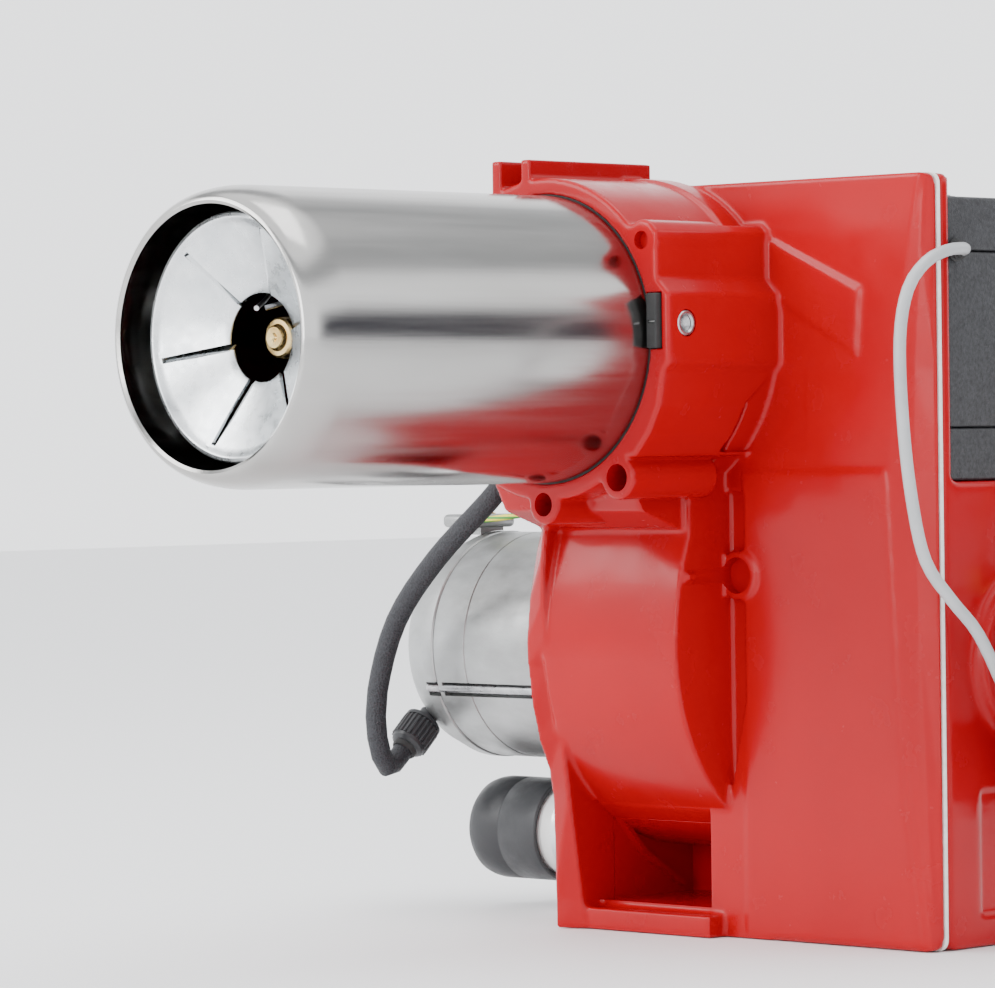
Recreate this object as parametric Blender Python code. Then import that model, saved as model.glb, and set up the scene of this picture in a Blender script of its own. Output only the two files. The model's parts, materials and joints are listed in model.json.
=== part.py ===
"""Forced-draught light-oil burner: blower, motor, pump and firing head, as separate pieces.

Frame while modelling: X from the blast tube's axis towards the air intake, Y from the collar's
front face towards the rear, Z up from the base. Everything hangs on one empty that moves this
frame so that the finished model stands with its base on Z = 0 and its box centred on the origin.
"""

import math

import bmesh
import bpy
from mathutils import Matrix, Vector

GAP = 0.0003  # between pieces that touch

# Blast tube and collar
TUBE_Z = 0.240
TUBE_RADIUS = 0.057
TUBE_WALL = 0.0015
TUBE_MOUTH_Y = -0.180
TUBE_REAR_Y = 0.030
MOUTH_RADIUS = 0.0508
COLLAR_RADIUS = 0.064
PLENUM_RADIUS = 0.056

# Castings
FRONT_WALL_Y = 0.066
JOINT_Y = 0.0715
GASKET_THICK = 0.0019
REAR_FRONT_Y = JOINT_Y + GASKET_THICK + 2 * GAP
FLANGE_REAR_Y = 0.080
REAR_Y = 0.198
TOP_Z = 0.302
HOUSING_TOP_Z = 0.182
LEFT_X = -0.045
UPPER_LEFT_X = -0.062
RIGHT_X = 0.143
PARTITION_X = 0.034
CAST_WALL = 0.004

# Fan and its scroll
FAN_Y = 0.125
FAN_Z = 0.112
FAN_RADIUS = 0.054
BLADES = 24
SCROLL_START = 0.058
SCROLL_END = 0.086
TONGUE_ANGLE = 100.0
SCROLL_TURN = 280.0
SCROLL_LEFT_X = -0.041
SCROLL_RIGHT_X = 0.032

# Motor, on the fan's axis
MOTOR_RADIUS = 0.049
MOTOR_PLATE_X = -0.0503
MOTOR_BELL_X = -0.066
MOTOR_CASE_END_X = -0.141
MOTOR_END_X = -0.177
ROD_RING = 0.0472
ROD_RADIUS = 0.0020
ROD_ANGLE = 201.5
SHAFT_RADIUS = 0.004
GLAND_X = -0.160
GLAND_ANGLE = 222.8

# Capacitor
CAP_Y = 0.120
CAP_Z = 0.033
CAP_RADIUS = 0.020
BOOT_RADIUS = 0.022
BOOT_END_X = -0.146
BOOT_MOUTH_X = -0.103
CAP_END_X = -0.058

# Pump, outboard of the intake chamber
PUMP_FACE_X = 0.1493
PUMP_BACK_X = 0.188
PUMP_NOSE_X = 0.200
PUMP_HALF = 0.026

# Electrical housing on top of the rear casting
BOX_LEFT_X = -0.060
BOX_RIGHT_X = 0.141
BOX_FRONT_Y = FLANGE_REAR_Y + GAP
BOX_WALL = 0.0025
TRAY_TOP_Z = 0.2028
COVER_TOP_Z = 0.2717
LID_TOP_Z = 0.293

# Firing head
DISC_Y = -0.167
DISC_RADIUS = 0.047
DISC_HOLE = 0.017
DISC_DISH = 0.0146
NOZZLE_TIP_Y = -0.1462
LINE_RADIUS = 0.005

# Air damper in the rear wall
DAMPER_X0 = 0.056
DAMPER_X1 = 0.124
DAMPER_Z0 = 0.024
DAMPER_HINGE_Z = 0.094
DAMPER_HINGE_Y = 0.188

BUTTON_PROUD = 0.0035
BOX_MIDDLE = Vector(((MOTOR_END_X + PUMP_NOSE_X) / 2, (TUBE_MOUTH_Y + REAR_Y + BUTTON_PROUD) / 2, 0))

# Lines held at both ends: socket or gland, way round, and where they go in
OIL_PIPE_ROUTE = [
    (0.000, 0.1167, 0.240), (0.000, 0.1220, 0.240), (0.003, 0.1330, 0.2415), (0.012, 0.1440, 0.248),
    (0.040, 0.1500, 0.258), (0.080, 0.1490, 0.2600), (0.118, 0.1450, 0.254), (0.136, 0.1405, 0.237),
    (0.148, 0.1380, 0.221), (0.158, 0.1340, 0.198), (0.1640, 0.1270, 0.172), (0.165, 0.1250, 0.1550),
    (0.165, 0.1250, 0.1477),
]
MOTOR_CABLE_ROUTE = [
    (-0.160, 0.07738, 0.06791), (-0.160, 0.0745, 0.0652), (-0.159, 0.0660, 0.0612), (-0.1575, 0.0590, 0.074),
    (-0.1560, 0.0580, 0.094), (-0.1440, 0.0580, 0.124), (-0.1190, 0.0580, 0.151), (-0.0840, 0.0600, 0.180),
    (-0.0810, 0.0740, 0.200), (-0.0840, 0.0980, 0.218), (-0.0800, 0.1160, 0.225), (-0.0720, 0.1200, 0.225),
    (-0.0664, 0.1200, 0.225),
]
COIL_LEAD_ROUTE = [
    (0.1416, 0.0850, 0.2720), (0.1450, 0.0850, 0.2720), (0.1495, 0.0800, 0.2723), (0.1518, 0.0670, 0.2712),
    (0.1520, 0.0540, 0.2665), (0.1520, 0.0430, 0.2560), (0.1520, 0.0378, 0.2370), (0.1520, 0.0390, 0.2060),
    (0.1520, 0.0438, 0.1755), (0.1525, 0.0510, 0.1520), (0.1540, 0.0640, 0.1370), (0.1570, 0.0770, 0.1230),
    (0.1630, 0.0860, 0.1000), (0.1680, 0.0915, 0.0810), (0.1685, 0.0980, 0.0702), (0.1685, 0.1040, 0.0700),
    (0.1685, 0.1076, 0.0700),
]
EARTH_WIRE_ROUTE = [
    (-0.1417, 0.1100, 0.166), (-0.1300, 0.1100, 0.167), (-0.1150, 0.1110, 0.169), (-0.0950, 0.1130, 0.173),
    (-0.0810, 0.1180, 0.183), (-0.0710, 0.1240, 0.1926), (-0.0650, 0.1240, 0.193), (-0.0604, 0.1240, 0.193),
]

MATERIALS = {
    "red_enamel": ((0.62, 0.012, 0.016), 0.22, 0.0),
    "stainless": ((0.62, 0.61, 0.59), 0.2, 1.0),
    "zinc_plate": ((0.70, 0.72, 0.74), 0.3, 1.0),
    "cast_aluminium": ((0.55, 0.56, 0.56), 0.45, 1.0),
    "machined_steel": ((0.45, 0.45, 0.46), 0.3, 1.0),
    "brass": ((0.70, 0.50, 0.20), 0.25, 1.0),
    "copper": ((0.72, 0.36, 0.22), 0.3, 1.0),
    "ceramic": ((0.82, 0.80, 0.76), 0.35, 0.0),
    "black_plastic": ((0.025, 0.025, 0.028), 0.55, 0.0),
    "grey_plastic": ((0.42, 0.43, 0.44), 0.5, 0.0),
    "white_plastic": ((0.85, 0.85, 0.84), 0.4, 0.0),
    "red_plastic": ((0.70, 0.03, 0.02), 0.3, 0.0),
    "rubber": ((0.02, 0.02, 0.02), 0.75, 0.0),
    "earth_sleeve": ((0.55, 0.62, 0.05), 0.5, 0.0),
    "gasket_fibre": ((0.86, 0.85, 0.82), 0.9, 0.0),
    "fan_steel": ((0.50, 0.51, 0.52), 0.4, 1.0),
    "copper_winding": ((0.55, 0.22, 0.10), 0.4, 0.7),
}


# ---------------------------------------------------------------- building blocks

def clear_scene():
    for obj in list(bpy.data.objects):
        bpy.data.objects.remove(obj, do_unlink=True)


def material(slot):
    found = bpy.data.materials.get(slot)
    if found:
        return found
    colour, roughness, metallic = MATERIALS[slot]
    made = bpy.data.materials.new(slot)
    made.use_nodes = True
    shader = made.node_tree.nodes["Principled BSDF"]
    shader.inputs["Base Color"].default_value = (*colour, 1)
    shader.inputs["Roughness"].default_value = roughness
    shader.inputs["Metallic"].default_value = metallic
    return made


def empty(name, place, parent=None):
    made = bpy.data.objects.new(name, None)
    made.location = place
    made.parent = parent
    bpy.context.collection.objects.link(made)
    return made


def finish_mesh(bm, name, slot, parent, smooth=True):
    bmesh.ops.remove_doubles(bm, verts=bm.verts, dist=1e-6)
    bmesh.ops.dissolve_degenerate(bm, edges=bm.edges, dist=1e-7)
    bmesh.ops.recalc_face_normals(bm, faces=bm.faces)
    mesh = bpy.data.meshes.new(name)
    bm.to_mesh(mesh)
    bm.free()
    obj = bpy.data.objects.new(name, mesh)
    obj.parent = parent
    if slot:
        mesh.materials.append(material(slot))
    bpy.context.collection.objects.link(obj)
    if smooth:
        mesh.shade_smooth()
        mesh.set_sharp_from_angle(angle=math.radians(35))
    return obj


def turned(axis, at):
    """The matrix that puts a shape made about Z on the X, Y or Z axis through a point."""
    turns = {
        "X": Matrix.Rotation(math.radians(90), 4, "Y"),
        "Y": Matrix.Rotation(math.radians(-90), 4, "X"),
        "Z": Matrix.Identity(4),
    }
    return Matrix.Translation(at) @ turns[axis]


def lathe(name, slot, parent, profile, axis, at=(0, 0, 0), steps=32):
    """A turned solid: profile is a closed run of (radius, distance along the axis)."""
    bm = bmesh.new()
    ring = [bm.verts.new((r, 0, h)) for r, h in profile]
    pairs = list(zip(ring, ring[1:] + ring[:1]))
    on_axis = [p for p in pairs if p[0].co.x < 1e-7 and p[1].co.x < 1e-7]
    edges = [bm.edges.new(p) for p in pairs if p not in on_axis]
    bmesh.ops.spin(
        bm, geom=ring + edges, axis=(0, 0, 1), cent=(0, 0, 0),
        angle=math.tau, steps=steps, use_merge=True,
    )
    bmesh.ops.transform(bm, matrix=turned(axis, at), verts=bm.verts)
    return finish_mesh(bm, name, slot, parent)


def rod(name, slot, parent, axis, at, radius, length, steps=20):
    """A plain round bar that starts at a point and runs up the axis."""
    profile = [(0, 0), (radius, 0), (radius, length), (0, length)]
    return lathe(name, slot, parent, profile, axis, at, steps)


def pipe(name, slot, parent, axis, at, inner, outer, length, steps=32):
    profile = [(inner, 0), (outer, 0), (outer, length), (inner, length)]
    return lathe(name, slot, parent, profile, axis, at, steps)


def prism(name, slot, parent, outline, axis, low, high, smooth=True):
    """An outline extruded along X (outline in y, z) or along Y (outline in x, z) or Z (x, y)."""
    bm = bmesh.new()
    places = {
        "X": lambda a, b: (low, a, b),
        "Y": lambda a, b: (a, low, b),
        "Z": lambda a, b: (a, b, low),
    }
    step = {"X": (high - low, 0, 0), "Y": (0, high - low, 0), "Z": (0, 0, high - low)}
    face = bm.faces.new([bm.verts.new(places[axis](a, b)) for a, b in outline])
    grown = bmesh.ops.extrude_face_region(bm, geom=[face])
    moved = [v for v in grown["geom"] if isinstance(v, bmesh.types.BMVert)]
    bmesh.ops.translate(bm, verts=moved, vec=step[axis])
    return finish_mesh(bm, name, slot, parent, smooth)


def block(name, slot, parent, low, high, bevel=0.0):
    bm = bmesh.new()
    bmesh.ops.create_cube(bm, size=1)
    size = [b - a for a, b in zip(low, high)]
    middle = [(a + b) / 2 for a, b in zip(low, high)]
    bmesh.ops.scale(bm, vec=size, verts=bm.verts)
    bmesh.ops.translate(bm, vec=middle, verts=bm.verts)
    if bevel:
        bmesh.ops.bevel(
            bm, geom=bm.edges, offset=bevel, segments=2, profile=0.5, affect="EDGES", material=-1
        )
    return finish_mesh(bm, name, slot, parent)


def boolean(target, other, operation):
    """Unites or cuts the target with another shape, which is used up."""
    step = target.modifiers.new(operation.lower(), "BOOLEAN")
    step.operation = operation
    step.solver = "EXACT"
    step.object = other
    bpy.context.view_layer.update()
    graph = bpy.context.evaluated_depsgraph_get()
    result = bpy.data.meshes.new_from_object(target.evaluated_get(graph))
    target.modifiers.clear()
    target.data = result
    bpy.data.objects.remove(other, do_unlink=True)
    bm = bmesh.new()
    bm.from_mesh(result)
    bmesh.ops.remove_doubles(bm, verts=bm.verts, dist=2e-6)
    bmesh.ops.dissolve_limit(
        bm, angle_limit=math.radians(0.5), verts=bm.verts, edges=bm.edges, delimit={"MATERIAL"}
    )
    bmesh.ops.triangulate(bm, faces=[f for f in bm.faces if len(f.verts) > 4])
    bm.to_mesh(result)
    bm.free()
    result.shade_smooth()
    result.set_sharp_from_angle(angle=math.radians(35))


def unite(target, *others):
    for other in others:
        boolean(target, other, "UNION")


def cut(target, *others):
    for other in others:
        boolean(target, other, "DIFFERENCE")


def round_corners(outline, radius, segments=4):
    """The outline with each corner replaced by an arc-like run of points."""
    rounded = []
    count = len(outline)
    for i in range(count):
        before, here, after = (Vector(outline[(i + k) % count]) for k in (-1, 0, 1))
        start = here + (before - here).normalized() * radius
        end = here + (after - here).normalized() * radius
        for k in range(segments + 1):
            t = k / segments
            point = start * (1 - t) ** 2 + here * 2 * t * (1 - t) + end * t ** 2
            rounded.append(tuple(point))
    return rounded


def smooth_route(route, step):
    """Points a step apart on a smooth curve through the route, whose first and last legs are straight."""
    points = [Vector(p) for p in route]
    fine = []
    for a, b, c, d in zip(points, points[1:], points[2:], points[3:]):
        for k in range(24):
            t = k / 24
            fine.append(
                0.5 * (2 * b + (c - a) * t + (2 * a - 5 * b + 4 * c - d) * t ** 2
                       + (3 * b - a - 3 * c + d) * t ** 3)
            )
    kept = [points[0], points[1]]
    for point in fine:
        if (point - kept[-1]).length >= step and (point - points[-2]).length >= step / 2:
            kept.append(point)
    return kept + [points[-2], points[-1]]


def tube_along(name, slot, parent, route, radius, resolution=2):
    """A cable or a bent pipe along a smooth route."""
    points = smooth_route(route, radius * 4.5)
    curve = bpy.data.curves.new(name, "CURVE")
    curve.dimensions = "3D"
    curve.bevel_depth = radius
    curve.bevel_resolution = resolution
    curve.use_fill_caps = True
    line = curve.splines.new("POLY")
    line.points.add(len(points) - 1)
    for spot, point in zip(line.points, points):
        spot.co = (*point, 1)
    curve.materials.append(material(slot))
    obj = bpy.data.objects.new(name, curve)
    obj.parent = parent
    bpy.context.collection.objects.link(obj)
    return obj


def around(radius, degrees, centre=(0, 0)):
    a = math.radians(degrees)
    return (centre[0] + radius * math.cos(a), centre[1] + radius * math.sin(a))


# ---------------------------------------------------------------- outlines

def joint_outline(inset=0.0):
    """The face where front and rear castings meet, in x and z."""
    corners = [
        (RIGHT_X - inset, inset),
        (RIGHT_X - inset, TOP_Z - inset),
        (UPPER_LEFT_X + inset, TOP_Z - inset),
        (UPPER_LEFT_X + inset, 0.184 + inset / 2),
        (LEFT_X + inset, 0.168 + inset / 2),
        (LEFT_X + inset, inset),
    ]
    return round_corners(corners, 0.004, 2)


def spiral(extra, first, last, count):
    """Points of the scroll, in y and z; angles turn from the rear over the top."""
    points = []
    for k in range(count + 1):
        angle = first + (last - first) * k / count
        share = (TONGUE_ANGLE - angle) / SCROLL_TURN
        radius = SCROLL_START + (SCROLL_END - SCROLL_START) * share + extra
        points.append(around(radius, angle, (FAN_Y, FAN_Z)))
    return points


def scroll_cavity_outline():
    """The air space: around the fan, then up in front of it into the collar."""
    around_fan = spiral(0, TONGUE_ANGLE, TONGUE_ANGLE - SCROLL_TURN, 28)
    outlet = [(0.0395, 0.135), (0.048, 0.160), (0.048, 0.205), (0.073, 0.205), (0.073, 0.174)]
    return around_fan + outlet


# ---------------------------------------------------------------- castings

def front_casting(parent):
    def add(low, high, bevel=0.0):
        return block("add", None, parent, low, high, bevel)

    wall = prism(
        "front_casting", "red_enamel", parent, joint_outline(), "Y", FRONT_WALL_Y, JOINT_Y
    )
    collar = rod("add", None, parent, "Y", (0, 0, TUBE_Z), COLLAR_RADIUS, JOINT_Y - 0.001, 40)
    scroll_front = spiral(0.004, -132, -180, 8)
    scroll = prism(
        "add", None, parent,
        [(0.070, 0.050)] + scroll_front + [(0.0355, 0.135), (0.044, 0.163), (0.044, 0.200), (0.070, 0.200)],
        "X", LEFT_X + 0.004, PARTITION_X + 0.002,
    )
    side_plate = prism(
        "add", None, parent,
        [
            (0.070, 0.0), (0.050, 0.0), (0.0495, 0.052), (0.047, 0.064), (0.0405, 0.078),
            (0.0370, 0.092), (0.0350, 0.108), (0.0345, 0.124), (0.0365, 0.138), (0.045, 0.163),
            (0.045, 0.190), (0.070, 0.190),
        ],
        "X", LEFT_X, LEFT_X + 0.0065,
    )
    neck = add((-0.038, 0.012, 0.168), (0.034, 0.070, 0.215))
    upper_pad = add((0.020, -0.0003, 0.224), (0.061, 0.068, 0.283), 0.001)
    lower_pad = add((0.022, -0.0006, 0.190), (0.067, 0.058, 0.259), 0.001)
    unite(wall, collar, scroll, side_plate, neck, upper_pad, lower_pad)
    fins = [add((x - 0.0025, 0.0004, 0.290), (x + 0.0025, 0.063, 0.312), 0.0008) for x in (-0.025, -0.009)]
    spots = [(0.053, 0.2775, 0.0085, 0.0), (0.039, 0.185, 0.0085, 0.0), (-0.001, 0.174, 0.0080, 0.0),
             (0.044, 0.145, 0.0097, 0.0649)]
    bosses = [
        rod("add", None, parent, "Y", (x, y - 0.0009, z), r, FRONT_WALL_Y + 0.0020 - y, 20)
        for x, z, r, y in spots
    ]
    rib = add((0.020, 0.060, 0.1436), (0.040, 0.068, 0.1464))
    unite(wall, *fins, *bosses, rib)
    bore = rod("cut", None, parent, "Y", (0, -0.01, TUBE_Z), TUBE_RADIUS + GAP, 0.01 + 0.035, 48)
    plenum = rod("cut", None, parent, "Y", (0, TUBE_REAR_Y, TUBE_Z), PLENUM_RADIUS, 0.060, 40)
    cavity = prism(
        "cut", None, parent, scroll_cavity_outline(), "X", SCROLL_LEFT_X, SCROLL_RIGHT_X
    )
    drills = [
        rod("cut", None, parent, "Y", (0.053, -0.01, 0.2775), 0.0033, 0.020, 16),
        rod("cut", None, parent, "Y", (0.039, -0.01, 0.185), 0.0054, 0.030, 20),
        rod("cut", None, parent, "Y", (-0.001, -0.01, 0.174), 0.0046, 0.030, 20),
        rod("cut", None, parent, "Y", (0.044, 0.040, 0.145), 0.0072, 0.028, 20),
        rod("cut", None, parent, "X", (0.055, 0.0108, 0.245), 0.0053, 0.020, 20),
    ]
    clip_seat = add((0.0555, -0.003, 0.235), (0.0635, 0.0045, 0.257))
    cut(wall, bore, plenum, cavity, clip_seat, *drills)


def rear_casting(parent):
    def hole(axis, at, radius, length, steps=32):
        return rod("cut", None, parent, axis, at, radius, length, steps)

    flange = prism(
        "rear_casting", "red_enamel", parent, joint_outline(), "Y", REAR_FRONT_Y, FLANGE_REAR_Y
    )
    housing = block(
        "add", None, parent, (LEFT_X, 0.078, 0), (RIGHT_X, REAR_Y, HOUSING_TOP_Z), 0.003
    )
    pump_boss = rod("add", None, parent, "X", (RIGHT_X - 0.002, FAN_Y, FAN_Z), 0.034, 0.008, 32)
    unite(flange, housing, pump_boss)
    cavity = prism(
        "cut", None, parent, scroll_cavity_outline(), "X", SCROLL_LEFT_X, SCROLL_RIGHT_X
    )
    chamber = block(
        "cut", None, parent,
        (PARTITION_X + 0.002, 0.070, CAST_WALL), (RIGHT_X - CAST_WALL, REAR_Y - CAST_WALL, 0.178),
    )
    inlet = hole("X", (0.030, FAN_Y, FAN_Z), 0.042, 0.008)
    motor_hole = hole("X", (-0.047, FAN_Y, FAN_Z), 0.056, 0.008)
    pump_hole = hole("X", (0.135, FAN_Y, FAN_Z), 0.018, 0.020)
    air_opening = block(
        "cut", None, parent,
        (DAMPER_X0, REAR_Y - 0.010, DAMPER_Z0), (DAMPER_X1, REAR_Y + 0.010, DAMPER_HINGE_Z - 0.004),
    )
    shaft_hole = hole("X", (0.135, DAMPER_HINGE_Y, DAMPER_HINGE_Z), 0.0034, 0.020, 16)
    bulkhead = [
        hole("Y", (0, 0.070, TUBE_Z), 0.0085, 0.015, 24),
        hole("Y", (-0.035, 0.070, 0.218), 0.0068, 0.015, 20),
        hole("Y", (0.022, 0.070, 0.262), 0.0045, 0.015, 16),
        hole("Y", (0.034, 0.070, 0.252), 0.0045, 0.015, 16),
    ]
    cut(flange, cavity, chamber, inlet, motor_hole, pump_hole, air_opening, shaft_hole, *bulkhead)


def body_gasket(parent):
    low = JOINT_Y + GAP
    ring = prism(
        "body_gasket", "gasket_fibre", parent, joint_outline(0.0004), "Y", low, low + GASKET_THICK
    )
    window = prism("cut", None, parent, joint_outline(0.0050), "Y", low - 0.01, low + 0.01)
    cut(ring, window)


# ---------------------------------------------------------------- tube and firing head

def blast_tube(parent):
    """Rolled tube with a lip drawn in at the mouth, wall outside to inside."""
    outside = [(TUBE_RADIUS, TUBE_REAR_Y), (TUBE_RADIUS, TUBE_MOUTH_Y + 0.020)]
    lip_radius = TUBE_RADIUS - MOUTH_RADIUS
    nose = []
    for k in range(1, 6):
        a = math.radians(90 * k / 5)
        nose.append(
            (MOUTH_RADIUS + lip_radius * math.cos(a), TUBE_MOUTH_Y + 0.020 - 0.020 * math.sin(a))
        )
    inner = [(MOUTH_RADIUS - 0.0012, TUBE_MOUTH_Y + 0.0008), (MOUTH_RADIUS, TUBE_MOUTH_Y + 0.003)]
    for k in range(1, 5):
        a = math.radians(90 - 90 * k / 4)
        nose_in = lip_radius - TUBE_WALL
        inner.append(
            (MOUTH_RADIUS + nose_in * math.cos(a), TUBE_MOUTH_Y + 0.020 - 0.017 * math.sin(a))
        )
    inside = [(TUBE_RADIUS - TUBE_WALL, TUBE_REAR_Y)]
    lathe(
        "blast_tube", "stainless", parent, outside + nose + inner + inside, "Y", (0, 0, TUBE_Z), 48
    )


def diffuser_disc(head):
    """Cone dished towards the nozzle, with a turned rim and six slots that part it into petals."""
    profile = [
        (DISC_HOLE, DISC_DISH), (DISC_HOLE, DISC_DISH + 0.0012), (0.0445, 0.0022), (0.0455, 0.012),
        (DISC_RADIUS, 0.012), (DISC_RADIUS, 0.0), (0.0440, 0.0),
    ]
    disc = lathe("diffuser_disc", "zinc_plate", head, profile, "Y", (0, DISC_Y, 0), 36)
    slots = []
    for k in range(6):
        slot_cut = block(
            "cut", None, head, (0.0150, DISC_Y - 0.01, -0.0011), (0.0425, DISC_Y + 0.020, 0.0011)
        )
        slot_cut.data.transform(Matrix.Rotation(math.radians(-11 - 60 * k), 4, "Y"))
        slots.append(slot_cut)
    cut(disc, *slots)


def disc_bracket(head):
    """Clamp ring on the oil line with three arms that reach into the disc's rim."""
    ring = pipe(
        "disc_bracket", "zinc_plate", head, "Y", (0, -0.110, 0), LINE_RADIUS + 0.0002, 0.0095, 0.010, 24
    )
    arms = []
    for k in range(3):
        arm = block("add", None, head, (0.008, -0.108, -0.0038), (0.0432, -0.1066, 0.0038))
        leg = block("add", None, head, (0.0424, -0.1622, -0.004), (0.0439, -0.1060, 0.004))
        for piece in (arm, leg):
            piece.data.transform(Matrix.Rotation(math.radians(95 + 120 * k), 4, "Y"))
        arms += [arm, leg]
    unite(ring, *arms)


def nozzle(head):
    """Spray nozzle: small orifice face, cone, round nose and a hexagon behind it."""
    y = NOZZLE_TIP_Y
    profile = [(0.0, y + 0.0012), (0.0012, y), (0.0045, y), (0.0076, y + 0.003), (0.0076, y + 0.010),
               (0.0045, y + 0.010), (0.0045, y + 0.016), (0.0, y + 0.016)]
    body = lathe("oil_nozzle", "brass", head, profile, "Y", (0, 0, 0), 24)
    hexagon = lathe(
        "add", None, head,
        [(0, y + 0.007), (0.0091, y + 0.007), (0.0091, y + 0.0125), (0, y + 0.0125)], "Y", (0, 0, 0), 6,
    )
    unite(body, hexagon)


def oil_line(head):
    """Steel tube that carries the nozzle, with the nozzle adapter at its front."""
    y = NOZZLE_TIP_Y + 0.0163
    profile = [(0.0, y), (0.0095, y), (0.0095, y + 0.015), (LINE_RADIUS, y + 0.018),
               (LINE_RADIUS, 0.100), (0.0, 0.100)]
    lathe("oil_line", "machined_steel", head, profile, "Y", (0, 0, 0), 24)


def electrodes(head):
    """Two ceramic insulators with bent wires in front, held by one clamp."""
    for name, side in (("a", -1), ("b", 1)):
        at = (side * 0.011, -0.150 + 0.022, 0.017)
        profile = [(0.0013, 0), (0.0026, 0), (0.0036, 0.004), (0.0036, 0.060), (0.0013, 0.060)]
        lathe(f"electrode_insulator_{name}", "ceramic", head, profile, "Y", at, 16)
        route = [
            (at[0], at[1] + 0.066, at[2]), (at[0], at[1] + 0.02, at[2]), (at[0], at[1] - 0.003, at[2]),
            (at[0], at[1] - 0.009, at[2]),
            (at[0] * 0.75, at[1] - 0.015, at[2] - 0.003), (at[0] * 0.22, at[1] - 0.0245, at[2] - 0.006),
        ]
        tube_along(f"electrode_wire_{name}", "machined_steel", head, route, 0.0010)
    clamp = block(
        "electrode_clamp", "zinc_plate", head, (-0.0165, -0.098, 0.0), (0.0165, -0.090, 0.022), 0.001
    )
    holes = [rod("cut", None, head, "Y", (side * 0.011, -0.11, 0.017), 0.0039, 0.03, 16) for side in (-1, 1)]
    line = rod("cut", None, head, "Y", (0, -0.11, 0), LINE_RADIUS + 0.0002, 0.03, 24)
    cut(clamp, line, *holes)


def line_socket(parent):
    """Brass union on the bulkhead that the oil line slides in."""
    lathe(
        "line_socket", "brass", parent,
        [(LINE_RADIUS + GAP, 0.0), (0.016, 0.0), (0.016, 0.004), (0.010, 0.004), (0.010, 0.036),
         (0.0, 0.036), (0.0, 0.030), (LINE_RADIUS + GAP, 0.030)],
        "Y", (0, FLANGE_REAR_Y + GAP, TUBE_Z), 24,
    )


def tube_details(parent):
    clip = block("tube_clip", "rubber", parent, (0.0580, -0.0028, 0.2353), (0.0632, 0.0042, 0.2567), 0.0006)
    slit = block("cut", None, parent, (0.0590, -0.004, 0.2445), (0.0622, -0.001, 0.2470))
    cut(clip, slit)
    profile = [(0.0032, 0.0), (0.0050, 0.0), (0.0050, 0.0088), (0.0032, 0.0088)]
    lathe("threaded_insert", "machined_steel", parent, profile, "X", (0.0585, 0.0108, 0.245), 16)


# ---------------------------------------------------------------- rotor line

def rotor_parts(axis):
    """Everything that turns with the motor shaft; the empty sits on the fan's axis."""
    rod("motor_shaft", "machined_steel", axis, "X", (-0.168, 0, 0), SHAFT_RADIUS, 0.226, 20)
    pipe("motor_rotor", "fan_steel", axis, "X", (-0.131, 0, 0), SHAFT_RADIUS + GAP, 0.0235, 0.052, 20)
    wheel = lathe(
        "fan_wheel", "fan_steel", axis,
        [(SHAFT_RADIUS + GAP, -0.033), (FAN_RADIUS, -0.033), (FAN_RADIUS, -0.0315), (0.012, -0.0315),
         (0.011, -0.012), (SHAFT_RADIUS + GAP, -0.012)],
        "X", (0, 0, 0), 24,
    )
    ring = pipe("add", None, axis, "X", (0.0225, 0, 0), 0.0445, FAN_RADIUS, 0.0015, 24)
    blades = []
    for k in range(BLADES):
        blade = prism(
            "add", None, axis,
            [(0.0450, -0.0006), (0.0492, 0.0004), (0.0534, 0.0034), (0.0530, 0.0044), (0.0490, 0.0015),
             (0.0450, 0.0006)],
            "X", -0.0320, 0.0230,
        )
        blade.data.transform(Matrix.Rotation(math.tau * k / BLADES, 4, "X"))
        blades.append(blade)
    cage = blades[0]
    bm = bmesh.new()
    for blade in blades:
        bm.from_mesh(blade.data)
    bm.to_mesh(cage.data)
    bm.free()
    for blade in blades[1:]:
        bpy.data.objects.remove(blade, do_unlink=True)
    unite(wheel, cage, ring)
    lathe(
        "pump_coupling", "white_plastic", axis,
        [(0.0, 0.062), (SHAFT_RADIUS + GAP, 0.062), (SHAFT_RADIUS + GAP, 0.050), (0.0095, 0.050),
         (0.0095, 0.066), (0.0075, 0.070), (0.0075, 0.124), (0.0095, 0.128), (0.0095, 0.146),
         (SHAFT_RADIUS + GAP, 0.146), (SHAFT_RADIUS + GAP, 0.134), (0.0, 0.134)],
        "X", (0, 0, 0), 24,
    )
    rod("pump_shaft", "machined_steel", axis, "X", (0.1345, 0, 0), SHAFT_RADIUS, 0.045, 20)


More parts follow.
